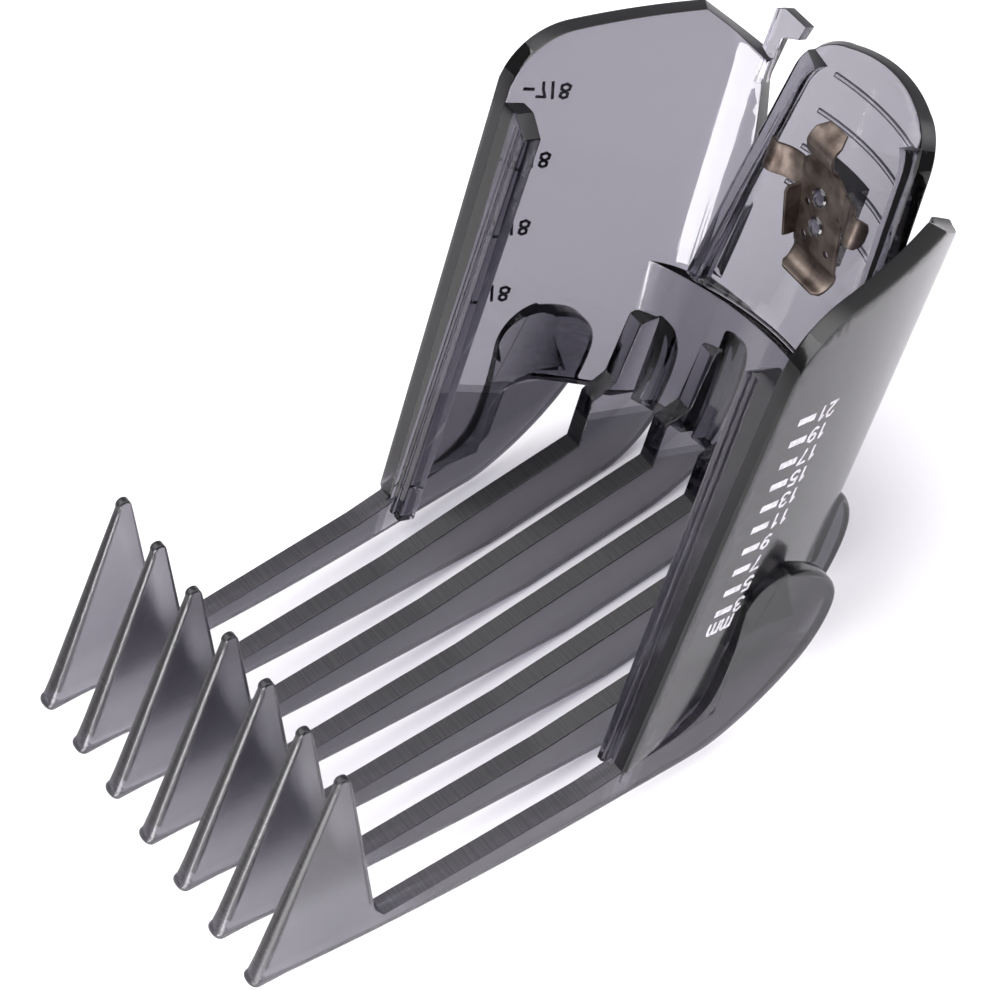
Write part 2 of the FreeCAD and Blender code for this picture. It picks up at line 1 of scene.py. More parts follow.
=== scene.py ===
"""Looks of the hair clipper's guide comb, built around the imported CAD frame.

Shapes are worked out in millimetres in the comb's working frame: X runs along the ribs from
the tooth tips to the back, Y across (left is +Y), Z up. Places on the sleeve are given as
a (up the sleeve), d (from its front edge to its back) and y. row() turns a working place
into the frame's metres.
"""
import bpy
import bmesh
import math
from mathutils import Matrix, Vector
from mathutils.geometry import delaunay_2d_cdt


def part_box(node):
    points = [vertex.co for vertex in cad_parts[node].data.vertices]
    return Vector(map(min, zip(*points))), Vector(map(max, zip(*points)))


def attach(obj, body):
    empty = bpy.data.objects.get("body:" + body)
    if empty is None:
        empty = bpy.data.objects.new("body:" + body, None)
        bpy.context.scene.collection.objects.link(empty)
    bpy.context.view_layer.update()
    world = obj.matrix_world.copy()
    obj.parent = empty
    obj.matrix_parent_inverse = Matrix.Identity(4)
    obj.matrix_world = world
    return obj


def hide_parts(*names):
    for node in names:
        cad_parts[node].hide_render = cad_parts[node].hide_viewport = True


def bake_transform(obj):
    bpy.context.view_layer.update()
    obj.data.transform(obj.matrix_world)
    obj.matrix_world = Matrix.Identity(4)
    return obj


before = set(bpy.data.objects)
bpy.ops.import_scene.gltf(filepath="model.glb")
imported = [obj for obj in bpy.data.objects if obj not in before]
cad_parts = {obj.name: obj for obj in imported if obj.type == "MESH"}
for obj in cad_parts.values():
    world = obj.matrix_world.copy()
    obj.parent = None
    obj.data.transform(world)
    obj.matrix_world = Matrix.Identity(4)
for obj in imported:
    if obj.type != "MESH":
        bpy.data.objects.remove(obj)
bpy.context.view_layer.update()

# ------------------------------ driving dimensions, mm
RIB_COUNT = 7
RIB_PITCH = 6.64
RIB_WIDTH = 2.1
LEAN_START = 44.0           # in front of this x the ribs lean toward the middle rib
LEAN = 0.05
TOOTH_TOP_WIDTH = 0.9
RIB_ROUND = 0.95            # full rounding of the ribs' undersides and leading edges
RIB_CRISP = 0.12            # rounding of the bars' tops and the teeth's rear edges
WEB_ROUND = 0.06
BAR_TOP = -0.8
BAR_DEPTH = 3.2
SOLE = -6.6
SOLE_OUTER = -5.2
SOLE_FLAT = (44.0, 57.0)
CENTER_REACH = 0.5
TOOTH_TIP = (0.35, 0.75)
TOOTH_APEX = (14.5, 20.0)
TOOTH_HEEL = (12.5, 0.9)

SLEEVE_ANGLE = math.radians(58.3)
SLEEVE_FOOT = (37.4, -2.0)
WALL = 2.0
WALL_ROUND = 0.28
HALF_WIDTH = 21.3
DRAFT = 0.04
SIDE_RADIUS = 58.0
SIDE_TAPER = math.radians(9.0)
SLEEVE_DEPTH = 24.6
BACK_RADIUS = 46.0
CORNER_RADIUS = 8.5
RIM_CORNER = 44.0
LOW_EDGE = 15.3
SIDE_FOOT_DEPTH = 8.2
WINDOW_SILL = 30.0
WINDOW_HALF = 11.4
WINDOW_HALF_TOP = 13.0
LIP_INNER = 17.2
LIP_THICK = 2.0
LIP_LOW = 0.0
LIP_TOP = 45.0
GROOVE_DEPTH = 0.3

TONGUE_THICK = 1.5
TONGUE_RADIUS = 20.0
TONGUE_DEPTH = 22.9
TONGUE_ROOT_HALF = 10.9
TONGUE_TOP_HALF = 8.7
TONGUE_TOP = 60.0
ROOT_POINTS = 10            # points along half of the tongue's root
FLANGE_THICK = 1.3
FLANGE_ROOT_DEPTH = 18.4
FLANGE_TOP_DEPTH = 20.4
STEEL = 0.35
STEEL_ROUND = 0.08
SPRING_HALF = 3.1
PIN_PLACES = (43.6, 46.8)
PIN_RADIUS = 0.7
PLATE_LOW = (40.2, 22.0)
PLATE_HIGH = (50.2, 19.4)

TICK_COUNT = 10
TICK_START = 19.5
TICK_STEP = 2.42
LABEL_START = 23.8
LABEL_STEP = 7.3

UP = Vector((math.cos(SLEEVE_ANGLE), 0, math.sin(SLEEVE_ANGLE)))
BACK = Vector((math.sin(SLEEVE_ANGLE), 0, -math.cos(SLEEVE_ANGLE)))
ACROSS = Vector((0, 1, 0))
FOOT = Vector((SLEEVE_FOOT[0], 0, SLEEVE_FOOT[1]))
MM = 0.001

# the working frame's place in the row frame, read off two CAD nodes
foot_a = (BAR_TOP - FOOT.z) / UP.z
SHIFT = Vector((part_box("side_wall_left")[0].x / MM - (FOOT + UP * foot_a).x, 0,
                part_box("rib_4")[0].z / MM - SOLE))


def row(p):
    return (p + SHIFT) * MM


def at(a, d, y=0.0):
    return FOOT + UP * a + BACK * d + ACROSS * y


# ------------------------------ outlines
def arc_points(p, q, r, count):
    """Points on the circle arc from p through q to r, without the first one."""
    ax, ay, bx, by, cx, cy = *p, *q, *r
    k = 2 * (ax * (by - cy) + bx * (cy - ay) + cx * (ay - by))
    pa, pb, pc = ax * ax + ay * ay, bx * bx + by * by, cx * cx + cy * cy
    ox = (pa * (by - cy) + pb * (cy - ay) + pc * (ay - by)) / k
    oy = (pa * (cx - bx) + pb * (ax - cx) + pc * (bx - ax)) / k
    radius = math.hypot(ax - ox, ay - oy)
    t0 = math.atan2(ay - oy, ax - ox)
    tm = math.atan2(by - oy, bx - ox)
    t1 = math.atan2(cy - oy, cx - ox)
    turn = (t1 - t0) % math.tau
    if (tm - t0) % math.tau > turn:
        turn -= math.tau
    angles = [t0 + turn * i / count for i in range(1, count + 1)]
    return [(ox + radius * math.cos(t), oy + radius * math.sin(t)) for t in angles]


def line_points(p, q, count):
    return [(p[0] + (q[0] - p[0]) * i / count, p[1] + (q[1] - p[1]) * i / count)
            for i in range(1, count + 1)]


def spline_points(points, count, start=None, end=None):
    """A smooth curve through the points (cubic, tangents across neighbours)."""
    tangents = []
    last = len(points) - 1
    for i in range(len(points)):
        p, q = points[max(i - 1, 0)], points[min(i + 1, last)]
        tangents.append(((q[0] - p[0]) / 2, (q[1] - p[1]) / 2))
    if start:
        reach = math.dist(points[0], points[1])
        tangents[0] = (start[0] * reach, start[1] * reach)
    if end:
        reach = math.dist(points[-2], points[-1])
        tangents[-1] = (end[0] * reach, end[1] * reach)
    result = []
    for (p, q), (m, n) in zip(zip(points, points[1:]), zip(tangents, tangents[1:])):
        for i in range(1, count + 1):
            t = i / count
            h0, h1 = 2 * t ** 3 - 3 * t ** 2 + 1, t ** 3 - 2 * t ** 2 + t
            h2, h3 = -2 * t ** 3 + 3 * t ** 2, t ** 3 - t ** 2
            result.append(tuple(h0 * p[k] + h1 * m[k] + h2 * q[k] + h3 * n[k] for k in (0, 1)))
    return result


def dense(outline, step):
    """The closed outline with extra points on its long stretches, at least step apart."""
    points = []
    for p, q in zip(outline, outline[1:] + outline[:1]):
        points += line_points(p, q, max(1, int(math.dist(p, q) / step)))
    return points


def mirrored(half):
    """Closed outline (y, v) from its half on the +Y side, in rising v, and its mirror image."""
    other = [(-y, v) for y, v in reversed(half)]
    return other[-1:] + half + other[:-1]


def signed_area(points):
    return sum(p[0] * q[1] - q[0] * p[1] for p, q in zip(points, points[1:] + points[:1])) / 2


def inset(points, amounts):
    """The closed outline moved inward, by one amount a point; points run anticlockwise."""
    least_spread = 0.35         # keeps a sharp corner's point from moving too far
    moved = []
    count = len(points)
    for i, (p, amount) in enumerate(zip(points, amounts)):
        before, after = points[i - 1], points[(i + 1) % count]
        u = Vector((p[0] - before[0], p[1] - before[1])).normalized()
        v = Vector((after[0] - p[0], after[1] - p[1])).normalized()
        n = Vector((-u.y - v.y, u.x + v.x))
        n.normalize()
        spread = max(least_spread, n.dot(Vector((-u.y, u.x))))
        moved.append((p[0] + n.x * amount / spread, p[1] + n.y * amount / spread))
    return moved


# ------------------------------ mesh builders
def linked(name, data):
    """A new object in the scene that shows data."""
    obj = bpy.data.objects.new(name, data)
    bpy.context.scene.collection.objects.link(obj)
    return obj


def new_object(name, bm):
    bmesh.ops.recalc_face_normals(bm, faces=bm.faces)
    mesh = bpy.data.meshes.new(name)
    bm.to_mesh(mesh)
    bm.free()
    return linked(name, mesh)


def skin(bm, one, two):
    """Faces between two rings of vertices; a ring of one vertex is a tip."""
    count = max(len(one), len(two))
    for i in range(count):
        j = (i + 1) % count
        quad = [one[i % len(one)], one[j % len(one)], two[j % len(two)], two[i % len(two)]]
        bm.faces.new(list(dict.fromkeys(quad)))


def inside(point, loop, margin):
    """Whether point is inside the closed loop and further than margin from it."""
    x, y = point
    hit = False
    for (x0, y0), (x1, y1) in zip(loop, loop[1:] + loop[:1]):
        if (y0 > y) != (y1 > y) and x < (x1 - x0) * (y - y0) / (y1 - y0) + x0:
            hit = not hit
        dx, dy = x1 - x0, y1 - y0
        t = ((x - x0) * dx + (y - y0) * dy) / max(dx * dx + dy * dy, 1e-12)
        t = min(1.0, max(0.0, t))
        if math.hypot(x0 + t * dx - x, y0 + t * dy - y) < margin:
            return False
    return hit


def filled(loop, step):
    """Triangles that fill the closed loop, with inner points every step where it is given."""
    points = [Vector(p) for p in loop]
    if step:
        clearance = 0.45 * min(step)
        low = [min(p[k] for p in loop) for k in (0, 1)]
        high = [max(p[k] for p in loop) for k in (0, 1)]
        for i in range(1, int((high[0] - low[0]) / step[0]) + 1):
            for j in range(1, int((high[1] - low[1]) / step[1]) + 1):
                p = (low[0] + i * step[0], low[1] + j * step[1])
                if inside(p, loop, clearance):
                    points.append(Vector(p))
    ring = list(range(len(loop)))
    edges = [(i, (i + 1) % len(loop)) for i in ring]
    verts, _, faces, _, _, _ = delaunay_2d_cdt(points, edges, [ring], 1, 1e-7)
    return [tuple(v) for v in verts], faces


def solid(name, outline, place, thick, edge, step=None, rounds=2):
    """Closed slab with rounded rims: place(u, v, depth) gives the points of its outline (u, v).

    edge is the rims' radius, or a list of (in the outline's plane, along depth) a point.
    """
    loop = list(outline)
    radii = edge if isinstance(edge, list) else [(edge, edge)] * len(loop)
    if signed_area(loop) < 0:
        loop, radii = loop[::-1], radii[::-1]
    rings = []
    for k in range(rounds + 1):
        turn = math.pi / 2 * k / rounds
        ring = inset(loop, [r * (1 - math.sin(turn)) for r, _ in radii])
        rings.append((ring, [r * (1 - math.cos(turn)) for _, r in radii]))
    rings += [(ring, [thick - d for d in depths]) for ring, depths in rings[::-1]]
    bm = bmesh.new()
    ring_verts = [[bm.verts.new(place(u, v, d)) for (u, v), d in zip(ring, depths)]
                  for ring, depths in rings]
    for upper, lower in zip(ring_verts, ring_verts[1:]):
        skin(bm, upper, lower)
    points, faces = filled(rings[0][0], step)
    for verts, depth in ((ring_verts[0], 0.0), (ring_verts[-1], thick)):
        made = verts + [bm.verts.new(place(u, v, depth)) for u, v in points[len(loop):]]
        for face in faces:
            bm.faces.new([made[i] for i in face])
    return new_object(name, bm)


def apply_modifiers(obj):
    """Puts what the modifiers make of the object's mesh in its place."""
    bpy.context.view_layer.update()
    graph = bpy.context.evaluated_depsgraph_get()
    mesh = bpy.data.meshes.new_from_object(obj.evaluated_get(graph))
    obj.modifiers.clear()
    obj.data = mesh


def boolean(base, tools, operation):
    """base with the tools joined or cut away; the tools are used up."""
    for tool in tools:
        mod = base.modifiers.new("join", "BOOLEAN")
        mod.operation = operation
        mod.solver = "MANIFOLD"
        mod.object = tool
    apply_modifiers(base)
    for tool in tools:
        bpy.data.objects.remove(tool)
    return base


def finish_mesh(obj, angle=32.0):
    """Welds, smooths by angle and weights the normals so that flat faces stay flat."""
    weld, sliver = 2e-7, 1e-7
    bm = bmesh.new()
    bm.from_mesh(obj.data)
    bmesh.ops.remove_doubles(bm, verts=bm.verts, dist=weld)
    bmesh.ops.dissolve_degenerate(bm, edges=bm.edges, dist=sliver)
    for face in bm.faces:
        face.smooth = True
    for e in bm.edges:
        e.smooth = len(e.link_faces) == 2 and e.calc_face_angle(0) < math.radians(angle)
    bm.to_mesh(obj.data)
    bm.free()
    mod = obj.modifiers.new("weigh", "WEIGHTED_NORMAL")
    mod.keep_sharp = True
    mod.weight = 60
    apply_modifiers(obj)
    return obj


# ------------------------------ sleeve surface
def arch_centers(half):
    """Centres (y, d) of the left side's arc and of the rounded back corner beside it."""
    side = (half - SIDE_RADIUS * math.cos(SIDE_TAPER), -SIDE_RADIUS * math.sin(SIDE_TAPER))
    side_reach, back_reach = SIDE_RADIUS - CORNER_RADIUS, BACK_RADIUS - CORNER_RADIUS
    span = math.dist(side, (0.0, BACK_CENTER))
    along = (side_reach ** 2 - back_reach ** 2 + span ** 2) / (2 * span)
    rise = math.sqrt(side_reach ** 2 - along ** 2)
    u = (-side[0] / span, (BACK_CENTER - side[1]) / span)
    return side, (side[0] + along * u[0] - rise * u[1], side[1] + along * u[1] + rise * u[0])


def arch_turns(side, corner):
    """Angles at which the side's arc meets the corner and the corner meets the back."""
    return (math.atan2(corner[1] - side[1], corner[0] - side[0]),
            math.atan2(corner[1] - BACK_CENTER, corner[0]))


BACK_CENTER = SLEEVE_DEPTH - BACK_RADIUS
SIDE_TURN, BACK_TURN = arch_turns(*arch_centers(HALF_WIDTH + DRAFT * WINDOW_SILL))
SIDE_LENGTH = SIDE_RADIUS * (SIDE_TURN - SIDE_TAPER)
CORNER_LENGTH = CORNER_RADIUS * (BACK_TURN - SIDE_TURN)
BACK_LENGTH = BACK_RADIUS * (math.pi / 2 - BACK_TURN)
HALF_LENGTH = SIDE_LENGTH + CORNER_LENGTH + BACK_LENGTH


def section_point(a, s, offset):
    """(y, d) on the sleeve at height a; s runs from the left front edge round to the right."""
    sign = 1 if s <= HALF_LENGTH else -1
    run = min(s, 2 * HALF_LENGTH - s)
    side, corner = arch_centers(HALF_WIDTH + DRAFT * a)
    side_turn, back_turn = arch_turns(side, corner)
    if run <= SIDE_LENGTH:
        center, radius = side, SIDE_RADIUS
        turn = SIDE_TAPER + (side_turn - SIDE_TAPER) * run / SIDE_LENGTH
    elif run <= SIDE_LENGTH + CORNER_LENGTH:
        center, radius = corner, CORNER_RADIUS
        turn = side_turn + (back_turn - side_turn) * (run - SIDE_LENGTH) / CORNER_LENGTH
    else:
        center, radius = (0.0, BACK_CENTER), BACK_RADIUS
        turn = math.pi / 2 - (math.pi / 2 - back_turn) * (HALF_LENGTH - run) / BACK_LENGTH
    reach = radius - offset
    return sign * (center[0] + reach * math.cos(turn)), center[1] + reach * math.sin(turn)


def on_sleeve(s, a, offset):
    """A point under the sleeve's outside; the front edge stays in the plane d = 0."""
    y, d = section_point(a, s, offset)
    reach = 6.0
    run = min(s, 2 * HALF_LENGTH - s)
    if run < reach:
        pull = offset * math.sin(SIDE_TAPER) * (1 - run / reach)
        d += pull
        y -= math.copysign(pull * math.tan(SIDE_TAPER), y)
    return row(at(a, d, y))


def run_at(a, goal, index):
    """Where on the left half the section at height a reaches y (index 0) or d (index 1)."""
    low, high = 0.0, HALF_LENGTH
    rising = index == 1
    for _ in range(40):
        mid = (low + high) / 2
        if (section_point(a, mid, 0.0)[index] < goal) == rising:
            low = mid
        else:
            high = mid
    return (low + high) / 2


def window_half(a):
    """Half width of the window in the back wall, which widens near its top."""
    start, length = 45.0, 6.0
    share = min(1.0, max(0.0, (a - start) / length))
    return WINDOW_HALF + share * (WINDOW_HALF_TOP - WINDOW_HALF)


def sleeve_outline():
    """Half outline of the sleeve in (s, a), from the sill's middle round to the lower edge."""
    heel_a = (BAR_TOP - FOOT.z + SIDE_FOOT_DEPTH * math.cos(SLEEVE_ANGLE)) / UP.z
    shoulder, peak, rear = (52.6, 5.0), (56.4, 16.5), (53.3, 22.25)
    rim = arc_points((RIM_CORNER, 0.0), (50.0, 1.5), shoulder, 26)
    rim += line_points(shoulder, peak, 16) + line_points(peak, rear, 8)
    window_top = 53.25
    half = [(HALF_LENGTH * (1 - i / 8) + i / 8 * run_at(WINDOW_SILL, WINDOW_HALF, 0), WINDOW_SILL)
            for i in range(9)]
    for i in range(1, 28):
        a = WINDOW_SILL + (window_top - WINDOW_SILL) * i / 27
        half.append((run_at(a, window_half(a), 0), a))
    for a, d in reversed(rim):
        s = run_at(a, d, 1)
        if s < half[-1][0] - 0.25:
            half.append((s, a))
    half.append((0.0, RIM_CORNER))
    half += [(0.0, a) for _, a in line_points((0, RIM_CORNER), (0, foot_a), 30)]
    for i in range(1, 9):
        d = SIDE_FOOT_DEPTH * i / 8
        a = foot_a + (heel_a - foot_a) * i / 8
        half.append((run_at(a, d, 1), a))
    for _, a in line_points((0, heel_a), (0, LOW_EDGE - 4.0), 6):
        half.append((run_at(a, SIDE_FOOT_DEPTH, 1), a))
    low = arc_points((LOW_EDGE - 4.0, SIDE_FOOT_DEPTH), (LOW_EDGE - 1.2, SIDE_FOOT_DEPTH + 1.1),
                     (LOW_EDGE, SIDE_FOOT_DEPTH + 4.0), 12)
    half += [(run_at(a, d, 1), a) for a, d in low]
    start = half[-1][0]
    half += [(start + (HALF_LENGTH - start) * i / 20, LOW_EDGE) for i in range(1, 21)]
    return half


def make_sleeve():
    half = sleeve_outline()
    other = [(2 * HALF_LENGTH - s, a) for s, a in reversed(half[1:-1])]
    return solid("sleeve", half + other, on_sleeve, WALL, WALL_ROUND, step=(1.0, 2.0))


def sleeve_plug(offset):
    """The space inside the sleeve surface that lies offset under the outside."""
    bm = bmesh.new()
    low, high, front, count = -6.0, 62.0, 4.0, 72
    rings = []
    for a in (low, (low + high) / 2, high):
        pairs = [section_point(a, 2 * HALF_LENGTH * i / count, offset) for i in range(count + 1)]
        pairs.append((pairs[-1][0] - front * math.tan(SIDE_TAPER), -front))
        pairs.append((pairs[0][0] + front * math.tan(SIDE_TAPER), -front))
        rings.append([bm.verts.new(row(at(a, d, y))) for y, d in pairs])
    for lower, upper in zip(rings, rings[1:]):
        skin(bm, lower, upper)
    bm.faces.new(rings[0])
    bm.faces.new(rings[-1])
    return new_object("plug", bm)


# ------------------------------ ribs
def rib_center(number):
    return (4 - number) * RIB_PITCH


def fin_outline(number):
    """Underside of the rear fin from the sole to the fin's top."""
    place = abs(number - 4)
    start = (SOLE_FLAT[1], SOLE)
    if place == 3:
        points = [(46.0, SOLE_OUTER), (50.2, -4.5), (54.4, -3.0), (58.4, -0.8), (61.2, 1.9),
                  (62.5, 4.6), (61.9, 7.4), (60.2, 9.6), (57.6, 11.2)]
    elif place == 2:
        points = [start, (61.0, -5.5), (64.4, -3.1), (67.2, 0.2), (68.7, 3.3), (68.7, 6.2),
                  (67.4, 8.5), (65.6, 9.6)]
    else:
        reach = CENTER_REACH if place == 0 else 0.0
        rear = [(63.5, -5.4), (67.3, -3.0), (70.2, 0.3), (72.2, 4.0), (72.6, 6.3), (71.9, 8.0),
                (70.4, 8.8)]
        points = [start] + [(x + reach, z) for x, z in rear]
    return [points[0]] + spline_points(points, 6, start=(1, 0), end=(-1, 0.4))


def riser_outline(number):
    """Upper edge of a rib inside the sleeve, from the bar up to the inner wall."""
    place = abs(number - 4)
    if place == 3:
        return [(48.0, BAR_TOP), (50.7, 4.0), (52.4, 5.6)]
    if place == 2:
        return [(55.2, BAR_TOP), (57.9, 3.9), (60.7, 4.4), (64.6, 9.7)]
    reach = CENTER_REACH if place == 0 else 0.0
    line = [(59.2, BAR_TOP), (61.6, 3.2), (64.4, 3.4), (68.0, 8.3)]
    return [(x + reach, z) for x, z in line]


def rib_outline(number):
    """Closed side view of one rib: tooth, bar, riser inside the sleeve, fin and sole.

    Gives the points and, for each, the rounding in the side view and across the rib, which
    add() takes as the same unless it is told otherwise.
    """
    outer = abs(number - 4) == 3
    nose_top = (0.4, 2.1)
    lead_end = (TOOTH_APEX[0] - 0.9, TOOTH_APEX[1] - 0.55)
    apex_end = (TOOTH_APEX[0] + 0.5, TOOTH_APEX[1] - 0.8)
    heel_start = (TOOTH_HEEL[0] + 0.08, TOOTH_HEEL[1] + 0.7)
    heel_end = (TOOTH_HEEL[0] + 0.6, TOOTH_HEEL[1] - 0.6)
    bar_mid = (34.0, BAR_TOP - 0.2)
    points, radii = [], []

    def add(stretch, reach, edge=None):
        for x, z in stretch:
            nose_share = min(1.0, math.dist((x, z), TOOTH_TIP) / 3.0)
            top_share = min(1.0, max(0.0, z / TOOTH_APEX[1]))
            limit = 0.5 + 0.45 * nose_share - (0.5 * top_share if x < LEAN_START / 2 else 0.0)
            points.append((x, z))
            radii.append((min(reach, limit), reach if edge is None else edge))

    add([TOOTH_TIP] + arc_points(TOOTH_TIP, (-0.2, 1.35), nose_top, 10), RIB_ROUND)
    add(line_points(nose_top, lead_end, 26), RIB_ROUND)
    for i, p in enumerate(arc_points(lead_end, TOOTH_APEX, apex_end, 10)):
        blend = 1 - (i + 1) / 11
        add([p], 0.15 + 0.2 * blend, RIB_CRISP + (RIB_ROUND - RIB_CRISP) * blend)
    riser = riser_outline(number)
    corners = [apex_end, heel_start, heel_end, bar_mid, riser[0]]
    for p, q, count in zip(corners, corners[1:], (20, 3, 16, 8)):
        add(line_points(p, q, count), RIB_CRISP)
    add(riser[1:], RIB_CRISP)
    fin = fin_outline(number)
    fin_round = 0.6
    for i, p in enumerate(reversed(fin)):
        grow = RIB_CRISP + (fin_round - RIB_CRISP) * min(1.0, i / 6)
        add([p], grow)
    flat_start = fin[0]
    if not outer:
        flat_start = (SOLE_FLAT[0], SOLE)
        add(line_points(fin[0], flat_start, 6), fin_round)
    bar_low = (24.5, BAR_TOP - BAR_DEPTH + (0.4 if outer else 0.0))
    for i, p in enumerate(arc_points(flat_start, bar_low, TOOTH_TIP, 48)[:-1]):
        grow = fin_round + (RIB_ROUND - fin_round) * min(1.0, (i + 1) / 8)
        add([p], grow)
    return points, radii


def rib_place(number):
    """place(x, z, depth) across a rib that leans and whose tooth thins toward its apex."""
    waist = BAR_TOP + 1.8
    top = TOOTH_APEX[1] + 1.0

    def place(x, z, depth):
        lean = 1 - LEAN * max(0.0, LEAN_START - x) / LEAN_START
        share = min(1.0, max(0.0, (z - waist) / (top - waist))) if x < LEAN_START / 2 else 0.0
        width = RIB_WIDTH + (TOOTH_TOP_WIDTH - RIB_WIDTH) * share
        y = rib_center(number) * lean + (depth / RIB_WIDTH - 0.5) * width
        return row(Vector((x, y, z)))
    return place


def make_rib(number):
    points, radii = rib_outline(number)
    return solid("rib", points, rib_place(number), RIB_WIDTH, radii, rounds=6)


def make_web(side):
    """Joins the plate of an outer rib to the tapering side of the sleeve."""
    front = [(43.6, BAR_TOP - 0.1), (46.1, -0.3), (48.5, 1.3), (51.2, 5.2), (53.0, 8.8)]
    points = [front[0]] + spline_points(front, 5)
    points += arc_points(front[-1], (54.6, 10.7), (58.4, 11.0), 12)
    for a, d in ((16.0, 14.5), (LOW_EDGE, 9.2), (8.0, 8.8), (5.6, 7.6)):
        p = at(a, d)
        points.append((p.x, p.z))
    outer = rib_center(1) + RIB_WIDTH / 2 - 0.02
    inner = 13.0
    web = solid("web", points,
                lambda x, z, depth: row(Vector((x, side * (outer - depth), z))),
                outer - inner, WEB_ROUND)
    return boolean(web, [sleeve_plug(WALL / 2)], "DIFFERENCE")


# ------------------------------ other body details
def make_step():
    """Thicker lower part of the back wall; its top is the ledge under the latch."""
    half, edge_depth, crown = 15.3, 16.9, SLEEVE_DEPTH - WALL - 0.5
    cover = 0.35
    front = [(-half, edge_depth)]
    front += arc_points(front[0], (0, crown), (half, edge_depth), 48)
    start = run_at(WINDOW_SILL, half, 0)
    runs = [start + (2 * HALF_LENGTH - 2 * start) * i / 40 for i in range(41)]
    back = [section_point(WINDOW_SILL, s, cover) for s in runs]
    low, high = LOW_EDGE + 0.02, WINDOW_SILL + 0.02
    return solid("step", front + back, lambda y, d, depth: row(at(high - depth, d, y)),
                 high - low, 0.12)


def make_lip(side):
    """Inward flange of the front edge, with long grooves on its face."""
    low, top, corner, proud = LIP_LOW, LIP_TOP, 1.5, 0.02
    outer = HALF_WIDTH - 0.35
    outer_top = outer + DRAFT * (top - corner)
    outline = [(LIP_INNER, low), (LIP_INNER, top - 1.6), (LIP_INNER + 2.0, top),
               (outer_top, top), (outer_top, top - corner), (outer, low)]
    lip = solid("lip", outline, lambda y, a, depth: row(at(a, depth - proud, side * y)),
                LIP_THICK, 0.2)
    grooves = []
    for y in (LIP_INNER + 0.7, LIP_INNER + 1.5):
        slot = [(y, -3.0), (y + 0.45, -3.0), (y + 0.45, top - 1.0), (y, top - 1.0)]
        grooves.append(solid("groove", slot,
                             lambda u, a, depth: row(at(a, depth - 0.6, side * u)),
                             0.6 + GROOVE_DEPTH, 0.1))
    return boolean(boolean(lip, grooves, "DIFFERENCE"), [sleeve_plug(0.35)], "INTERSECT")


def make_lug():
    """Small lug on the left wall's end, beside the top of the latch."""
    outline = [(14.1, 50.0), (14.1, 57.6), (12.9, 58.3), (9.8, 58.3), (10.2, 56.7), (12.3, 55.6),
               (12.9, 50.0)]
    return solid("lug", outline, lambda y, a, depth: row(at(a, 21.2 + depth, y)), 1.1, 0.12)


def make_comb():
    comb = make_sleeve()
    parts = [make_rib(number) for number in range(1, RIB_COUNT + 1)]
    parts += [make_web(side) for side in (1, -1)]
    parts += [make_step(), make_lip(1), make_lip(-1), make_lug()]
    comb = boolean(comb, parts, "UNION")
    comb.name = "comb_moulding"
    return finish_mesh(comb)


# ------------------------------ latch
def tongue_half_outline(extra):
    """Half of the tongue's front view (y, a) on the +Y side, from the root's middle to the top."""
    root, top = WINDOW_SILL + 0.03, TONGUE_TOP - extra
    root_half, top_half = TONGUE_ROOT_HALF - extra, TONGUE_TOP_HALF - extra
    corner, drop = 3.6, 1.3
    waist = (root_half - 0.9, 42.0)
    shoulder = (top_half, top - drop - corner)
    bend = (top_half - 0.29 * corner, top - drop - 0.29 * corner)
    crown_edge = (top_half - corner, top - drop + 0.45)
    points = line_points((0.0, root), (root_half, root), ROOT_POINTS)
    points += line_points((root_half, root), waist, 10)
    points += line_points(waist, shoulder, 9)
    points += arc_points(shoulder, bend, crown_edge, 10)
    crown = arc_points(crown_edge, (0.0, top), (-crown_edge[0], crown_edge[1]), 12)
    return points + crown[:6]


def on_tongue(a, turn, r):
    """A point at height a on the arc of radius r about the tongue's axis."""
    center = TONGUE_DEPTH - TONGUE_RADIUS
    return row(at(a, center + r * math.cos(turn), r * math.sin(turn)))


def make_tongue():
    half = tongue_half_outline(0.0)
    outline = [(0.0, WINDOW_SILL + 0.03)] + half + [(-y, a) for y, a in reversed(half[:-1])]
    outer = TONGUE_RADIUS + TONGUE_THICK

    def place(y, a, depth):
        turn = math.asin(max(-1, min(1, y / TONGUE_RADIUS)))
        return on_tongue(a, turn, outer - depth)
    return solid("tongue", outline, place, TONGUE_THICK, 0.22, step=(0.8, 2.0))


def make_flange(side):
    """Side flange of the tongue, standing forward from the arched sheet, most at its root."""
    low, top = WINDOW_SILL + 0.6, TONGUE_TOP - 2.6
    outer_line = [p for p in tongue_half_outline(0.0)[ROOT_POINTS:] if p[1] < top]
    inner_line = [p for p in tongue_half_outline(FLANGE_THICK)[ROOT_POINTS:] if p[1] < top - 0.8]
    outline = [(y, max(a, low)) for y, a in outer_line + inner_line[::-1]]
    rear = 22.4
    rise = (FLANGE_TOP_DEPTH - FLANGE_ROOT_DEPTH) / (top - low)

    def place(y, a, depth):
        front = FLANGE_ROOT_DEPTH + rise * (a - low)
        return row(at(a, front + depth * (rear - front), side * y))
    return solid("flange", outline, place, 1.0, [(0.2, 0.07)] * len(outline))


def make_ridge(a, half):
    """Thin ridge across the outer face of the tongue."""
    base, sunk, width = TONGUE_RADIUS + TONGUE_THICK, 0.3, 0.4

    def place(y, up, depth):
        return on_tongue(up, y / base, base - sunk + depth)
    top = a + width
    outline = [(-half, a)] + line_points((-half, a), (half, a), 16)
    outline += [(half, top)] + line_points((half, top), (-half, top), 16)
    return solid("ridge", outline, place, 0.75, 0.1)


def plate_depth(a):
    share = (a - PLATE_LOW[0]) / (PLATE_HIGH[0] - PLATE_LOW[0])
    return PLATE_LOW[1] + share * (PLATE_HIGH[1] - PLATE_LOW[1])


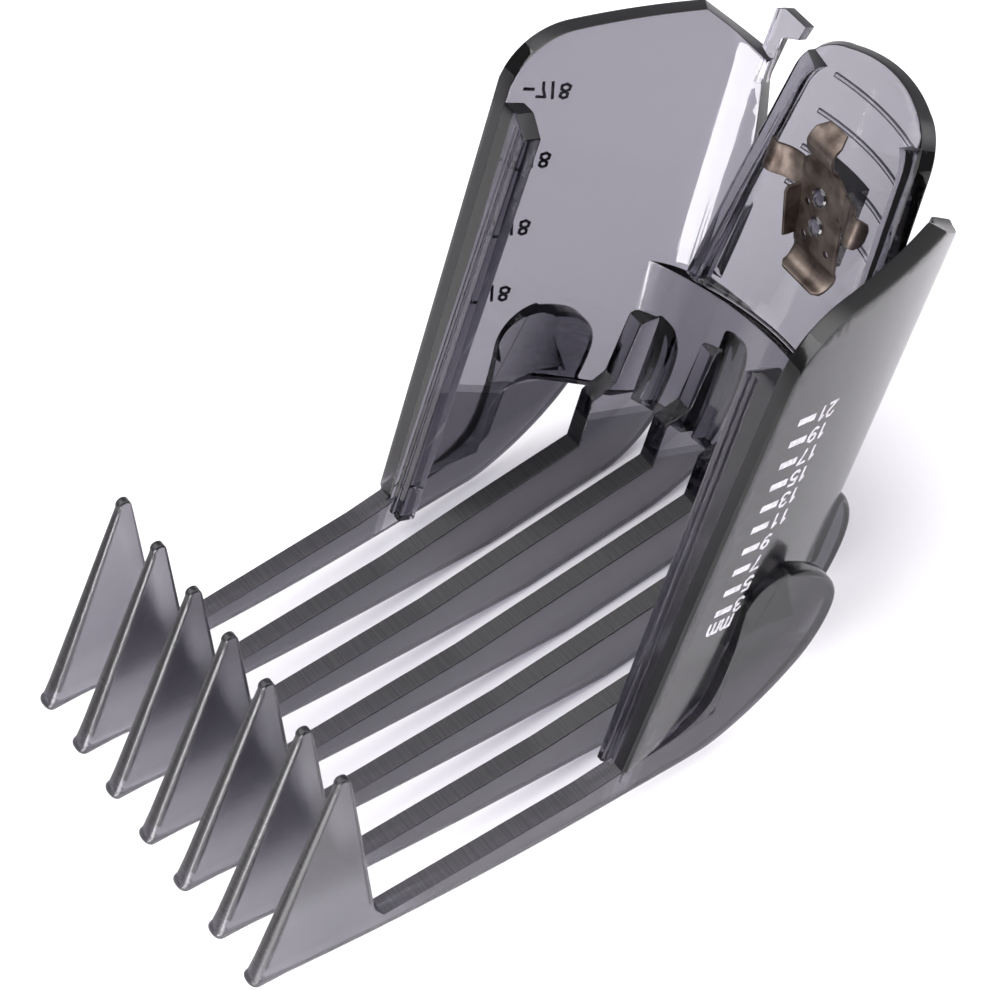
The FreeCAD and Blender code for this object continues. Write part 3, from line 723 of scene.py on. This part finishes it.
def make_seat():
    """Wedge on the tongue's inner face that carries the spring."""
    low, high, half = 41.0, 49.4, 2.9
    gap = STEEL + 0.02
    outline = [(low, plate_depth(low) + gap), (high, plate_depth(high) + gap),
               (high, TONGUE_DEPTH + 0.5), (low, TONGUE_DEPTH + 0.5)]
    return solid("seat", outline, lambda a, d, depth: row(at(a, d, depth - half)), 2 * half, 0.12)


def make_pin(a):
    """Stake pin with a melted head."""
    profile = [(0.0, -0.55), (0.45, -0.5), (0.8, -0.38), (0.98, -0.24), (0.95, -0.16),
               (0.6, -0.14), (0.58, 0.5), (0.58, 1.2), (0.0, 1.2)]
    bm = bmesh.new()
    count = 24
    base = plate_depth(a)
    rings = []
    for r, depth in profile:
        turns = [math.tau * i / count for i in range(count)] if r else [0.0]
        rings.append([bm.verts.new(row(at(a + r * math.cos(t), base + depth, r * math.sin(t))))
                      for t in turns])
    for one, two in zip(rings, rings[1:]):
        skin(bm, one, two)
    return new_object("pin", bm)


def make_latch():
    latch = make_tongue()
    parts = [make_flange(1), make_flange(-1), make_seat()]
    parts += [make_ridge(55.4 - 4.0 * i, 6.4 + 0.3 * i) for i in range(4)]
    parts += [make_pin(a) for a in PIN_PLACES]
    latch = boolean(latch, parts, "UNION")
    latch.name = "latch_moulding"
    return finish_mesh(latch)


# ------------------------------ steel spring
def bent_path(points, radius, count=6):
    """The (a, d) polyline with its corners rounded."""
    result = [points[0]]
    for p, q, r in zip(points, points[1:], points[2:]):
        u = (Vector(p) - Vector(q)).normalized()
        v = (Vector(r) - Vector(q)).normalized()
        cut = min(radius, 0.45 * math.dist(p, q), 0.45 * math.dist(q, r))
        start, end = Vector(q) + u * cut, Vector(q) + v * cut
        for i in range(count + 1):
            t = i / count
            mix = start * (1 - t) ** 2 + Vector(q) * 2 * t * (1 - t) + end * t ** 2
            result.append(tuple(mix))
    return result + [points[-1]]


def path_lengths(path):
    """How far along the path each of its points is."""
    lengths = [0.0]
    for p, q in zip(path, path[1:]):
        lengths.append(lengths[-1] + math.dist(p, q))
    return lengths


def path_spot(path, lengths, run):
    """The stretch that holds run, the share of it that run has passed, and the point there."""
    run = min(max(run, 0.0), lengths[-1])
    i = 0
    while i < len(lengths) - 2 and lengths[i + 1] < run:
        i += 1
    t = (run - lengths[i]) / (lengths[i + 1] - lengths[i])
    return i, t, Vector(path[i]).lerp(Vector(path[i + 1]), t)


def path_normal(path, k):
    """Unit normal of the stretch that ends at point k, or of the end stretch nearest to it."""
    k = min(max(k, 1), len(path) - 1)
    e = (Vector(path[k]) - Vector(path[k - 1])).normalized()
    return Vector((-e.y, e.x))


def strip_place(path):
    """place(y, run, depth) on a strip that follows the path in (a, d), and its length."""
    lengths = path_lengths(path)

    def place(y, run, depth):
        i, t, spot = path_spot(path, lengths, run)
        n = path_normal(path, i + 1) * (1 - t) + path_normal(path, i + 2) * t
        n = (n + path_normal(path, i) * 0.001).normalized()
        spot = spot + n * depth
        return row(at(spot.x, spot.y, y))
    return place, lengths[-1]


def make_hole(a, y, radius, sides):
    """Round cutter through the spring's plate."""
    start = plate_depth(a) - 0.9
    turns = [math.tau * i / sides for i in range(sides)]
    ring = [(radius * math.cos(t), radius * math.sin(t)) for t in turns]
    return solid("hole", ring, lambda u, v, depth: row(at(a + u, start + depth, y + v)), 2.4, 0.05)


def make_leaf():
    """The leaf: hooked foot, inclined plate with its holes, folded flap and two curled arms."""
    path = bent_path([(37.9, 21.0), (38.3, 22.0), (39.6, 22.5), PLATE_LOW, PLATE_HIGH], 0.7)
    place, total = strip_place(path)
    half = SPRING_HALF
    outline = mirrored([(half - 0.9, 0.0), (half - 0.3, 0.5), (half - 0.1, 1.8), (half, 2.6),
                        (half, total - 4.6), (half, total - 1.0), (half - 0.8, total - 0.2),
                        (half - 1.0, total)])
    leaf = solid("leaf", dense(outline, 0.35), place, STEEL, STEEL_ROUND, step=(0.7, 0.35))
    small_holes, small_radius = ((1.7, 41.6), (-1.7, 41.6), (1.75, 45.2)), 0.36
    holes = [make_hole(a, 0.0, PIN_RADIUS, 28) for a in PIN_PLACES]
    holes += [make_hole(a, y, small_radius, 20) for y, a in small_holes]
    fold = [(a, plate_depth(a) + lift) for a, lift in ((41.0, 0.28), (46.5, 0.28), (46.2, -1.5),
                                                       (45.6, -1.8), (40.7, -1.4))]
    flap = solid("fold", fold, lambda a, d, depth: row(at(a, d, SPRING_HALF - 0.3 + depth)),
                 STEEL, STEEL_ROUND)
    arms = [flap] + [make_arm(side) for side in (1, -1)]
    leaf = boolean(leaf, holes, "DIFFERENCE")
    leaf = boolean(leaf, arms, "UNION")
    leaf.name = "spring_leaf"
    return finish_mesh(leaf, 40.0)


def make_arm(side):
    """Curled arm: rolls from the plate toward the tongue's flange."""
    middle = 47.6
    base = plate_depth(middle)
    path = bent_path([(SPRING_HALF - 0.8, base + 0.02), (SPRING_HALF + 0.4, base - 0.05),
                      (4.6, base - 0.5), (5.7, base - 1.7), (6.8, base - 1.5),
                      (7.2, base - 0.3)], 0.8)
    lengths = path_lengths(path)
    total = lengths[-1]
    lean = (PLATE_HIGH[1] - PLATE_LOW[1]) / (PLATE_HIGH[0] - PLATE_LOW[0])
    outline = [(46.0, 0.0)]
    outline += line_points((46.0, 0.0), (46.1, total - 0.8), 30)
    outline += [(46.5, total - 0.2), (47.1, total), (48.2, total), (48.8, total - 0.25)]
    outline += line_points((49.1, total - 0.8), (49.2, 0.0), 30)

    def place(a, run, depth):
        i, _, spot = path_spot(path, lengths, run)
        spot = spot + path_normal(path, i + 1) * depth
        tilt = lean * (a - middle) * max(0.0, 1 - run / 3.0)
        return row(at(a, spot.y + tilt, side * spot.x))
    return solid("arm", outline, place, STEEL, STEEL_ROUND, step=(0.6, 0.35))


def make_nose():
    """The click nose that springs into the clipper's length notches."""
    path = bent_path([(50.32, 19.35), (50.9, 18.4), (52.3, 17.7), (53.4, 18.2), (54.4, 19.3)], 0.8)
    place, total = strip_place(path)
    half = 1.9
    outline = mirrored([(half - 0.2, 0.0), (half, 0.5), (half, total - 1.2), (half - 0.7, total)])
    nose = solid("spring_nose_leaf", dense(outline, 0.3), place, STEEL, STEEL_ROUND,
                 step=(0.7, 0.3))
    return finish_mesh(nose, 40.0)


# ------------------------------ printed scales
GLYPHS = {
    "0": [[(0.5, 1.0), (0.12, 0.85), (0.0, 0.5), (0.12, 0.15), (0.5, 0.0), (0.88, 0.15), (1.0, 0.5),
           (0.88, 0.85), (0.5, 1.0)]],
    "1": [[(0.2, 0.78), (0.55, 1.0), (0.55, 0.0)]],
    "2": [[(0.05, 0.8), (0.3, 1.0), (0.75, 1.0), (0.95, 0.75), (0.8, 0.5), (0.0, 0.0), (1.0, 0.0)]],
    "3": [[(0.05, 0.85), (0.35, 1.0), (0.75, 0.98), (0.93, 0.77), (0.8, 0.57), (0.45, 0.53)],
          [(0.45, 0.53), (0.85, 0.47), (1.0, 0.25), (0.8, 0.03), (0.35, 0.0), (0.0, 0.15)]],
    "5": [[(0.9, 1.0), (0.15, 1.0), (0.08, 0.55), (0.55, 0.62), (0.95, 0.45), (0.95, 0.18),
           (0.6, 0.0), (0.2, 0.0), (0.0, 0.14)]],
    "7": [[(0.0, 1.0), (1.0, 1.0), (0.55, 0.45), (0.4, 0.0)]],
    "8": [[(0.5, 0.53), (0.12, 0.66), (0.1, 0.88), (0.5, 1.0), (0.9, 0.88), (0.88, 0.66), (0.5, 0.53),
           (0.05, 0.38), (0.02, 0.13), (0.5, 0.0), (0.98, 0.13), (0.95, 0.38), (0.5, 0.53)]],
    "9": [[(0.05, 0.1), (0.4, 0.0), (0.8, 0.15), (0.97, 0.55), (0.9, 0.85), (0.5, 1.0), (0.12, 0.88),
           (0.05, 0.62), (0.35, 0.43), (0.75, 0.47), (0.95, 0.68)]],
    "/": [[(0.15, -0.05), (0.6, 1.05)]],
    "m": [[(0.0, 0.0), (0.0, 0.66)], [(0.0, 0.5), (0.2, 0.66), (0.4, 0.64), (0.5, 0.45), (0.5, 0.0)],
          [(0.5, 0.5), (0.7, 0.66), (0.9, 0.62), (1.0, 0.42), (1.0, 0.0)]],
}
GLYPH_W = 1.0
GLYPH_H = 1.5
GLYPH_GAP = 0.3
STROKE = 0.29
PRINT_THICK = 0.03
PRINT_BASE = 0.004          # the ink's underside, just clear of the wall


def side_place(side):
    """place(d, a, height) on the outer face of a side wall; height lifts off it."""
    def place(d, a, height):
        turn = math.asin(math.sin(SIDE_TAPER) + d / SIDE_RADIUS)
        drop = SIDE_RADIUS * (math.cos(SIDE_TAPER) - math.cos(turn))
        y = HALF_WIDTH + DRAFT * a - drop + height * math.cos(turn)
        return row(at(a, d + height * math.sin(turn), side * y))
    return place


def stroke(bm, points, width, place):
    """A flat ribbon of ink along the points, with closed sides."""
    for p, q in zip(points, points[1:]):
        u = (Vector(q) - Vector(p)).normalized()
        n = Vector((-u.y, u.x)) * width / 2
        over = u * width * 0.35
        ends = [Vector(p) - over, Vector(q) + over]
        flat = [ends[0] - n, ends[1] - n, ends[1] + n, ends[0] + n]
        top = [bm.verts.new(place(c.x, c.y, PRINT_THICK)) for c in flat]
        low = [bm.verts.new(place(c.x, c.y, PRINT_BASE)) for c in flat]
        bm.faces.new(top)
        bm.faces.new(list(reversed(low)))
        for i in range(4):
            j = (i + 1) % 4
            bm.faces.new((top[i], low[i], low[j], top[j]))


def print_text(bm, text, d, a, side, place, size=1.0, narrow=1.0):
    """Text that stands upright with the teeth held up; d is its frontmost place."""
    advance = (GLYPH_W + GLYPH_GAP) * size * narrow
    for index, char in enumerate(text):
        for line in GLYPHS[char]:
            points = []
            for u, v in line:
                x = index * advance + u * GLYPH_W * size * narrow
                if side < 0:
                    x = len(text) * advance - GLYPH_GAP * size * narrow - x
                points.append((d + x, a + (0.5 - v) * GLYPH_H * size))
            stroke(bm, points, STROKE, place)


def make_mm_scale():
    """White scale on the right wall: a bar and an odd number of millimetres, and the unit."""
    bar_start, bar_end, bar_width, text_start = 3.35, 5.05, 0.75, 5.8
    unit_start, unit_a = 3.1, TICK_START - TICK_STEP + 0.2
    bm = bmesh.new()
    place = side_place(-1)
    for index in range(TICK_COUNT):
        a = TICK_START + TICK_STEP * index
        stroke(bm, [(bar_start, a), (bar_end, a)], bar_width, place)
        print_text(bm, str(3 + 2 * index), text_start, a, -1, place)
    print_text(bm, "mm", unit_start, unit_a, -1, place, size=1.35)
    return new_object("mm_print", bm)


def make_inch_scale():
    """Dark scale on the left wall: a dash and a fraction of an inch."""
    dash_start, dash_end, dash_width, text_start = 2.5, 3.4, 0.34, 3.9
    bm = bmesh.new()
    place = side_place(1)
    for index, label in enumerate(("1/8", "3/8", "5/8", "7/8")):
        a = LABEL_START + LABEL_STEP * index
        stroke(bm, [(dash_start, a), (dash_end, a)], dash_width, place)
        print_text(bm, label, text_start, a, 1, place, narrow=0.84)
    return new_object("inch_print", bm)


# ------------------------------ materials
class Tree:
    """A material and short ways to add nodes to it; a value is a socket or a plain one."""

    def __init__(self, name):
        self.material = bpy.data.materials.new(name)
        self.material.use_nodes = True
        self.nodes, self.links = self.material.node_tree.nodes, self.material.node_tree.links
        self.nodes.clear()
        self.output = self.nodes.new("ShaderNodeOutputMaterial")

    def put(self, socket, value):
        if isinstance(value, bpy.types.NodeSocket):
            self.links.new(value, socket)
        else:
            socket.default_value = value

    def node(self, kind, **values):
        """A node with its inputs set by name; an underscore stands for a space."""
        node = self.nodes.new("ShaderNode" + kind)
        for name, value in values.items():
            self.put(node.inputs[name.replace("_", " ")], value)
        return node

    def math(self, operation, *values):
        node = self.node("Math")
        node.operation = operation
        for socket, value in zip(node.inputs, values):
            self.put(socket, value)
        return node.outputs[0]

    def along(self, vector, direction):
        """How far a vector reaches along a fixed direction."""
        node = self.node("VectorMath")
        node.operation = "DOT_PRODUCT"
        self.put(node.inputs[0], vector)
        self.put(node.inputs[1], direction)
        return node.outputs["Value"]

    def mixed(self, share, low, high):
        """Between two colours by share."""
        node = self.node("Mix")
        node.data_type = "RGBA"
        self.put(node.inputs[0], share)
        self.put(node.inputs[6], low)
        self.put(node.inputs[7], high)
        return node.outputs[2]

    def between(self, share, low, high):
        """Between two numbers by share."""
        node = self.node("Mix")
        self.put(node.inputs[0], share)
        self.put(node.inputs[2], low)
        self.put(node.inputs[3], high)
        return node.outputs[0]

    def noise(self, vector, scale, detail):
        return self.node("TexNoise", Vector=vector, Scale=scale, Detail=detail).outputs["Fac"]

    def remap(self, value, start, end, low=0.0, high=1.0):
        node = self.node("MapRange", Value=value, From_Min=start, From_Max=end, To_Min=low,
                         To_Max=high)
        return node.outputs["Result"]

    def ramp(self, share, *stops):
        """Colours by share; a stop is a position and its red, green and blue."""
        node = self.node("ValToRGB", Fac=share)
        for element, (position, color) in zip(node.color_ramp.elements, stops):
            element.position = position
            element.color = (*color, 1)
        return node.outputs["Color"]

    def bump(self, height, strength, distance, **normal):
        node = self.node("Bump", Height=height, Strength=strength, Distance=distance, **normal)
        return node.outputs["Normal"]

    def wear(self, surface):
        self.put(self.output.inputs["Surface"], surface)
        return self.material


def smoke_zones(tree, spot, normal):
    """Masks (0 or 1) of where painted shade goes: the ribs, their narrow faces, the walls' narrow
    faces, the right wall.
    """
    calc, along = tree.math, tree.along
    level_limit, rising_limit, facing_limit, rim_limit = 0.6, 0.25, -0.5, 0.6
    bar_reach, near_front, on_front, right_start = 13.5, -0.3, 0.25, -10.0
    foot = row(FOOT)
    a = calc("SUBTRACT", along(spot, UP), foot.dot(UP))
    d = calc("SUBTRACT", along(spot, BACK), foot.dot(BACK))
    y = along(spot, ACROSS)
    level = calc("LESS_THAN", calc("ABSOLUTE", along(normal, ACROSS)), level_limit)
    rising = calc("GREATER_THAN", along(normal, (0, 0, 1)), rising_limit)
    clear_of_lips = calc("MAXIMUM", calc("GREATER_THAN", d, (LIP_THICK + 0.1) * MM),
                         calc("LESS_THAN", calc("ABSOLUTE", y), (LIP_INNER - 0.15) * MM))
    under = calc("MULTIPLY", calc("LESS_THAN", a, bar_reach * MM), clear_of_lips)
    ribs = calc("MAXIMUM", calc("LESS_THAN", d, near_front * MM), under)
    # up-facing narrow faces of the ribs, which get painted shade
    rib_tops = calc("MULTIPLY", calc("MULTIPLY", level, rising), ribs)
    wall_line = calc("MULTIPLY_ADD", a, DRAFT, (HALF_WIDTH - WALL + 0.1) * MM)
    front = calc("MULTIPLY", calc("LESS_THAN", d, on_front * MM),
                 calc("GREATER_THAN", calc("ABSOLUTE", y), wall_line))
    facing = calc("LESS_THAN", along(normal, BACK), facing_limit)
    rim = calc("MULTIPLY", calc("GREATER_THAN", a, (RIM_CORNER - 0.5) * MM),
               calc("GREATER_THAN", along(normal, UP), rim_limit))
    # the walls' front edges and top rims, which get painted shade
    edges = calc("MAXIMUM", calc("MULTIPLY", front, facing), rim)
    # the right wall outside the ribs, which gets painted shade
    right = calc("MULTIPLY", calc("LESS_THAN", y, right_start * MM), calc("LESS_THAN", ribs, 0.5))
    return ribs, rib_tops, edges, right


def smoke_material():
    """Smoke-grey clear plastic: polished walls, frosted ribs, matt narrow faces, flow lines; painted
    shade darkens the ribs, the right wall, the walls' narrow faces and the bars' tops.
    """
    tree = Tree("smoke_polycarbonate")
    coords = tree.node("TexCoord")
    spot = coords.outputs["Object"]
    ribs, rib_tops, edges, right = smoke_zones(tree, spot, coords.outputs["Normal"])

    streaks = tree.node("Mapping", Vector=spot, Scale=(1.0, 0.03, 1.0)).outputs["Vector"]
    cuts = tree.noise(streaks, scale=6000.0, detail=3.0)
    # painted shade: a near-black tone for the bars' tops, streaked by their real cut marks
    bar_top_cuts_and_painted_shade = tree.ramp(cuts, (0.3, (0.045, 0.042, 0.055)), (0.7, (0.13, 0.125, 0.15)))
    # painted shade on the ribs: darker than the walls, lighter on the teeth and darkest behind them
    tooth = tree.remap(tree.along(spot, (1, 0, 0)), row(Vector((18.0, 0, 0))).x,
                       row(Vector((13.0, 0, 0))).x)
    rib_painted_shade = tree.mixed(tooth, (0.21, 0.203, 0.225, 1), (0.46, 0.45, 0.475, 1))
    # the ribs take their painted shade
    color = tree.mixed(ribs, (0.63, 0.625, 0.65, 1), rib_painted_shade)
    # painted shade: the right wall is darker than the left
    color = tree.mixed(right, color, (0.38, 0.37, 0.395, 1))
    # painted shade: the walls' front edges and top rims are darkened
    color = tree.mixed(edges, color, (0.12, 0.115, 0.14, 1))
    # the bars' tops take the painted shade with its cut-mark streaks
    color = tree.mixed(rib_tops, color, bar_top_cuts_and_painted_shade)

    polish = tree.remap(tree.noise(spot, scale=220.0, detail=6.0), 0.35, 0.75,
                        low=0.015, high=0.08)
    rough = tree.between(right, polish, 0.16)
    rough = tree.between(ribs, rough, 0.20)
    rough = tree.between(tree.math("MAXIMUM", edges, rib_tops), rough, 0.42)

    stretch = tree.node("Mapping", Vector=spot, Rotation=(0, math.radians(32), 0),
                        Scale=(5.0, 1.0, 1.0)).outputs["Vector"]
    waves = tree.bump(tree.noise(stretch, scale=60.0, detail=3.0), 0.03, distance=0.0002)
    normal = tree.bump(cuts, tree.math("MULTIPLY", rib_tops, 0.15), distance=0.0001, Normal=waves)
    plastic = tree.node("BsdfPrincipled", Base_Color=color, Roughness=rough, IOR=1.54,
                        Transmission_Weight=1.0, Normal=normal)

    clear = tree.node("BsdfTransparent", Color=(0.88, 0.88, 0.90, 1))
    mix = tree.node("MixShader", Fac=tree.node("LightPath").outputs["Is Shadow Ray"])
    tree.put(mix.inputs[1], plastic.outputs["BSDF"])
    tree.put(mix.inputs[2], clear.outputs["BSDF"])
    smoke = tree.node("VolumeAbsorption", Color=(0.33, 0.32, 0.38, 1), Density=640.0)
    tree.put(tree.output.inputs["Volume"], smoke.outputs["Volume"])
    return tree.wear(mix.outputs["Shader"])


def steel_material():
    """Tempered spring steel: uneven brown tone, and rolling marks in its roughness."""
    tree = Tree("spring_steel")
    spot = tree.node("TexCoord").outputs["Object"]
    tint = tree.ramp(tree.noise(spot, scale=420.0, detail=5.0), (0.32, (0.05, 0.038, 0.032)),
                     (0.72, (0.21, 0.175, 0.15)))
    stretch = tree.node("Mapping", Vector=spot, Scale=(1.0, 12.0, 1.0)).outputs["Vector"]
    marks = tree.noise(stretch, scale=700.0, detail=3.0)
    metal = tree.node("BsdfPrincipled", Metallic=1.0, Base_Color=tint,
                      Roughness=tree.remap(marks, 0.0, 1.0, low=0.34, high=0.56),
                      Normal=tree.bump(marks, 0.25, distance=0.00004))
    return tree.wear(metal.outputs["BSDF"])


def ink_material(name, dark, light, roughness):
    """Pad-printed ink, slightly uneven where the film is thin."""
    tree = Tree(name)
    film = tree.noise(tree.node("TexCoord").outputs["Object"], scale=2500.0, detail=4.0)
    ink = tree.node("BsdfPrincipled", Base_Color=tree.ramp(film, (0.3, dark), (0.65, light)),
                    Roughness=roughness, Normal=tree.bump(film, 0.3, distance=0.00002))
    return tree.wear(ink.outputs["BSDF"])


def paper_material():
    tree = Tree("white_paper")
    paper = tree.node("BsdfPrincipled", Base_Color=(0.93, 0.93, 0.93, 1), Roughness=0.9)
    return tree.wear(paper.outputs["BSDF"])


# ------------------------------ stage
def make_floor():
    """Pale sheet that the comb stands on."""
    bm = bmesh.new()
    size = 1.2
    bmesh.ops.create_grid(bm, x_segments=2, y_segments=2, size=size)
    floor = new_object("floor", bm)
    floor.data.materials.append(paper_material())


def area_light(name, place, target, size, power):
    light = bpy.data.lights.new(name, "AREA")
    light.shape = "SQUARE"
    light.size = size
    light.energy = power
    light.color = (1.0, 0.98, 1.0)
    obj = linked(name, light)
    obj.location = place
    direction = Vector(target) - Vector(place)
    obj.rotation_euler = direction.to_track_quat("-Z", "Y").to_euler()


def make_world():
    world = bpy.data.worlds.new("studio")
    bpy.context.scene.world = world
    world.use_nodes = True
    back = world.node_tree.nodes["Background"]
    back.inputs["Color"].default_value = (0.96, 0.93, 1.0, 1)
    back.inputs["Strength"].default_value = 0.25


def make_camera():
    """Camera at the reference view, looking down at the comb from its front right."""
    place = Vector((-77.95, -222.1, 318.7)) * MM
    forward = Vector((0.1987, 0.5870, -0.7848)).normalized()
    down = Vector((-0.5292, -0.6097, -0.5901))
    down = (down - forward * down.dot(forward)).normalized()
    right = down.cross(forward)
    camera = bpy.data.cameras.new("camera")
    camera.sensor_width = 36.0
    camera.lens = 152.7
    camera.clip_start = 0.01
    obj = linked("camera", camera)
    turn = Matrix((right, -down, -forward)).transposed()
    obj.matrix_world = Matrix.Translation(place) @ turn.to_4x4()
    bpy.context.scene.camera = obj


# ------------------------------ assembly
def dress(obj, mat):
    obj.data.materials.clear()
    obj.data.materials.append(mat)
    return obj


smoke = smoke_material()
steel = steel_material()
white_ink = ink_material("white_ink", dark=(0.36, 0.35, 0.38), light=(0.66, 0.65, 0.69),
                         roughness=0.45)
dark_ink = ink_material("dark_ink", dark=(0.012, 0.012, 0.016), light=(0.05, 0.05, 0.055),
                        roughness=0.5)

comb = dress(make_comb(), smoke)
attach(comb, "comb_body")
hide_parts(*["rib_%d" % n for n in range(1, RIB_COUNT + 1)], "side_wall_left",
            "side_wall_right", "back_wall", "back_step", "guide_lip_left", "guide_lip_right",
            "stop_lug")

latch = dress(make_latch(), smoke)
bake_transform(latch)
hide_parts("latch_tongue", "latch_flange_left", "latch_flange_right", "grip_ridges",
            "spring_seat", "stake_pins")

leaf = dress(make_leaf(), steel)
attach(leaf, "latch")
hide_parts("click_spring", "spring_arm_left", "spring_arm_right")

nose = dress(make_nose(), steel)
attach(nose, "click_nose")
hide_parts("spring_nose")

mm_print = dress(make_mm_scale(), white_ink)
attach(mm_print, "comb_body")
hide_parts("mm_scale")

inch_print = dress(make_inch_scale(), dark_ink)
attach(inch_print, "comb_body")
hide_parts("inch_scale")

make_floor()
make_world()
area_light("key", place=(-0.15, 0.15, 0.75), target=(0, 0, 0.02), size=0.9, power=9.5)
area_light("fill", place=(0.5, -0.2, 0.5), target=(0, 0, 0.02), size=0.5, power=3.0)
area_light("panel", place=(-0.115, -0.094, 0.021), target=(0.016, 0.015, 0.035), size=0.12,
           power=0.52)
make_camera()
bpy.context.scene.view_settings.view_transform = "Standard"
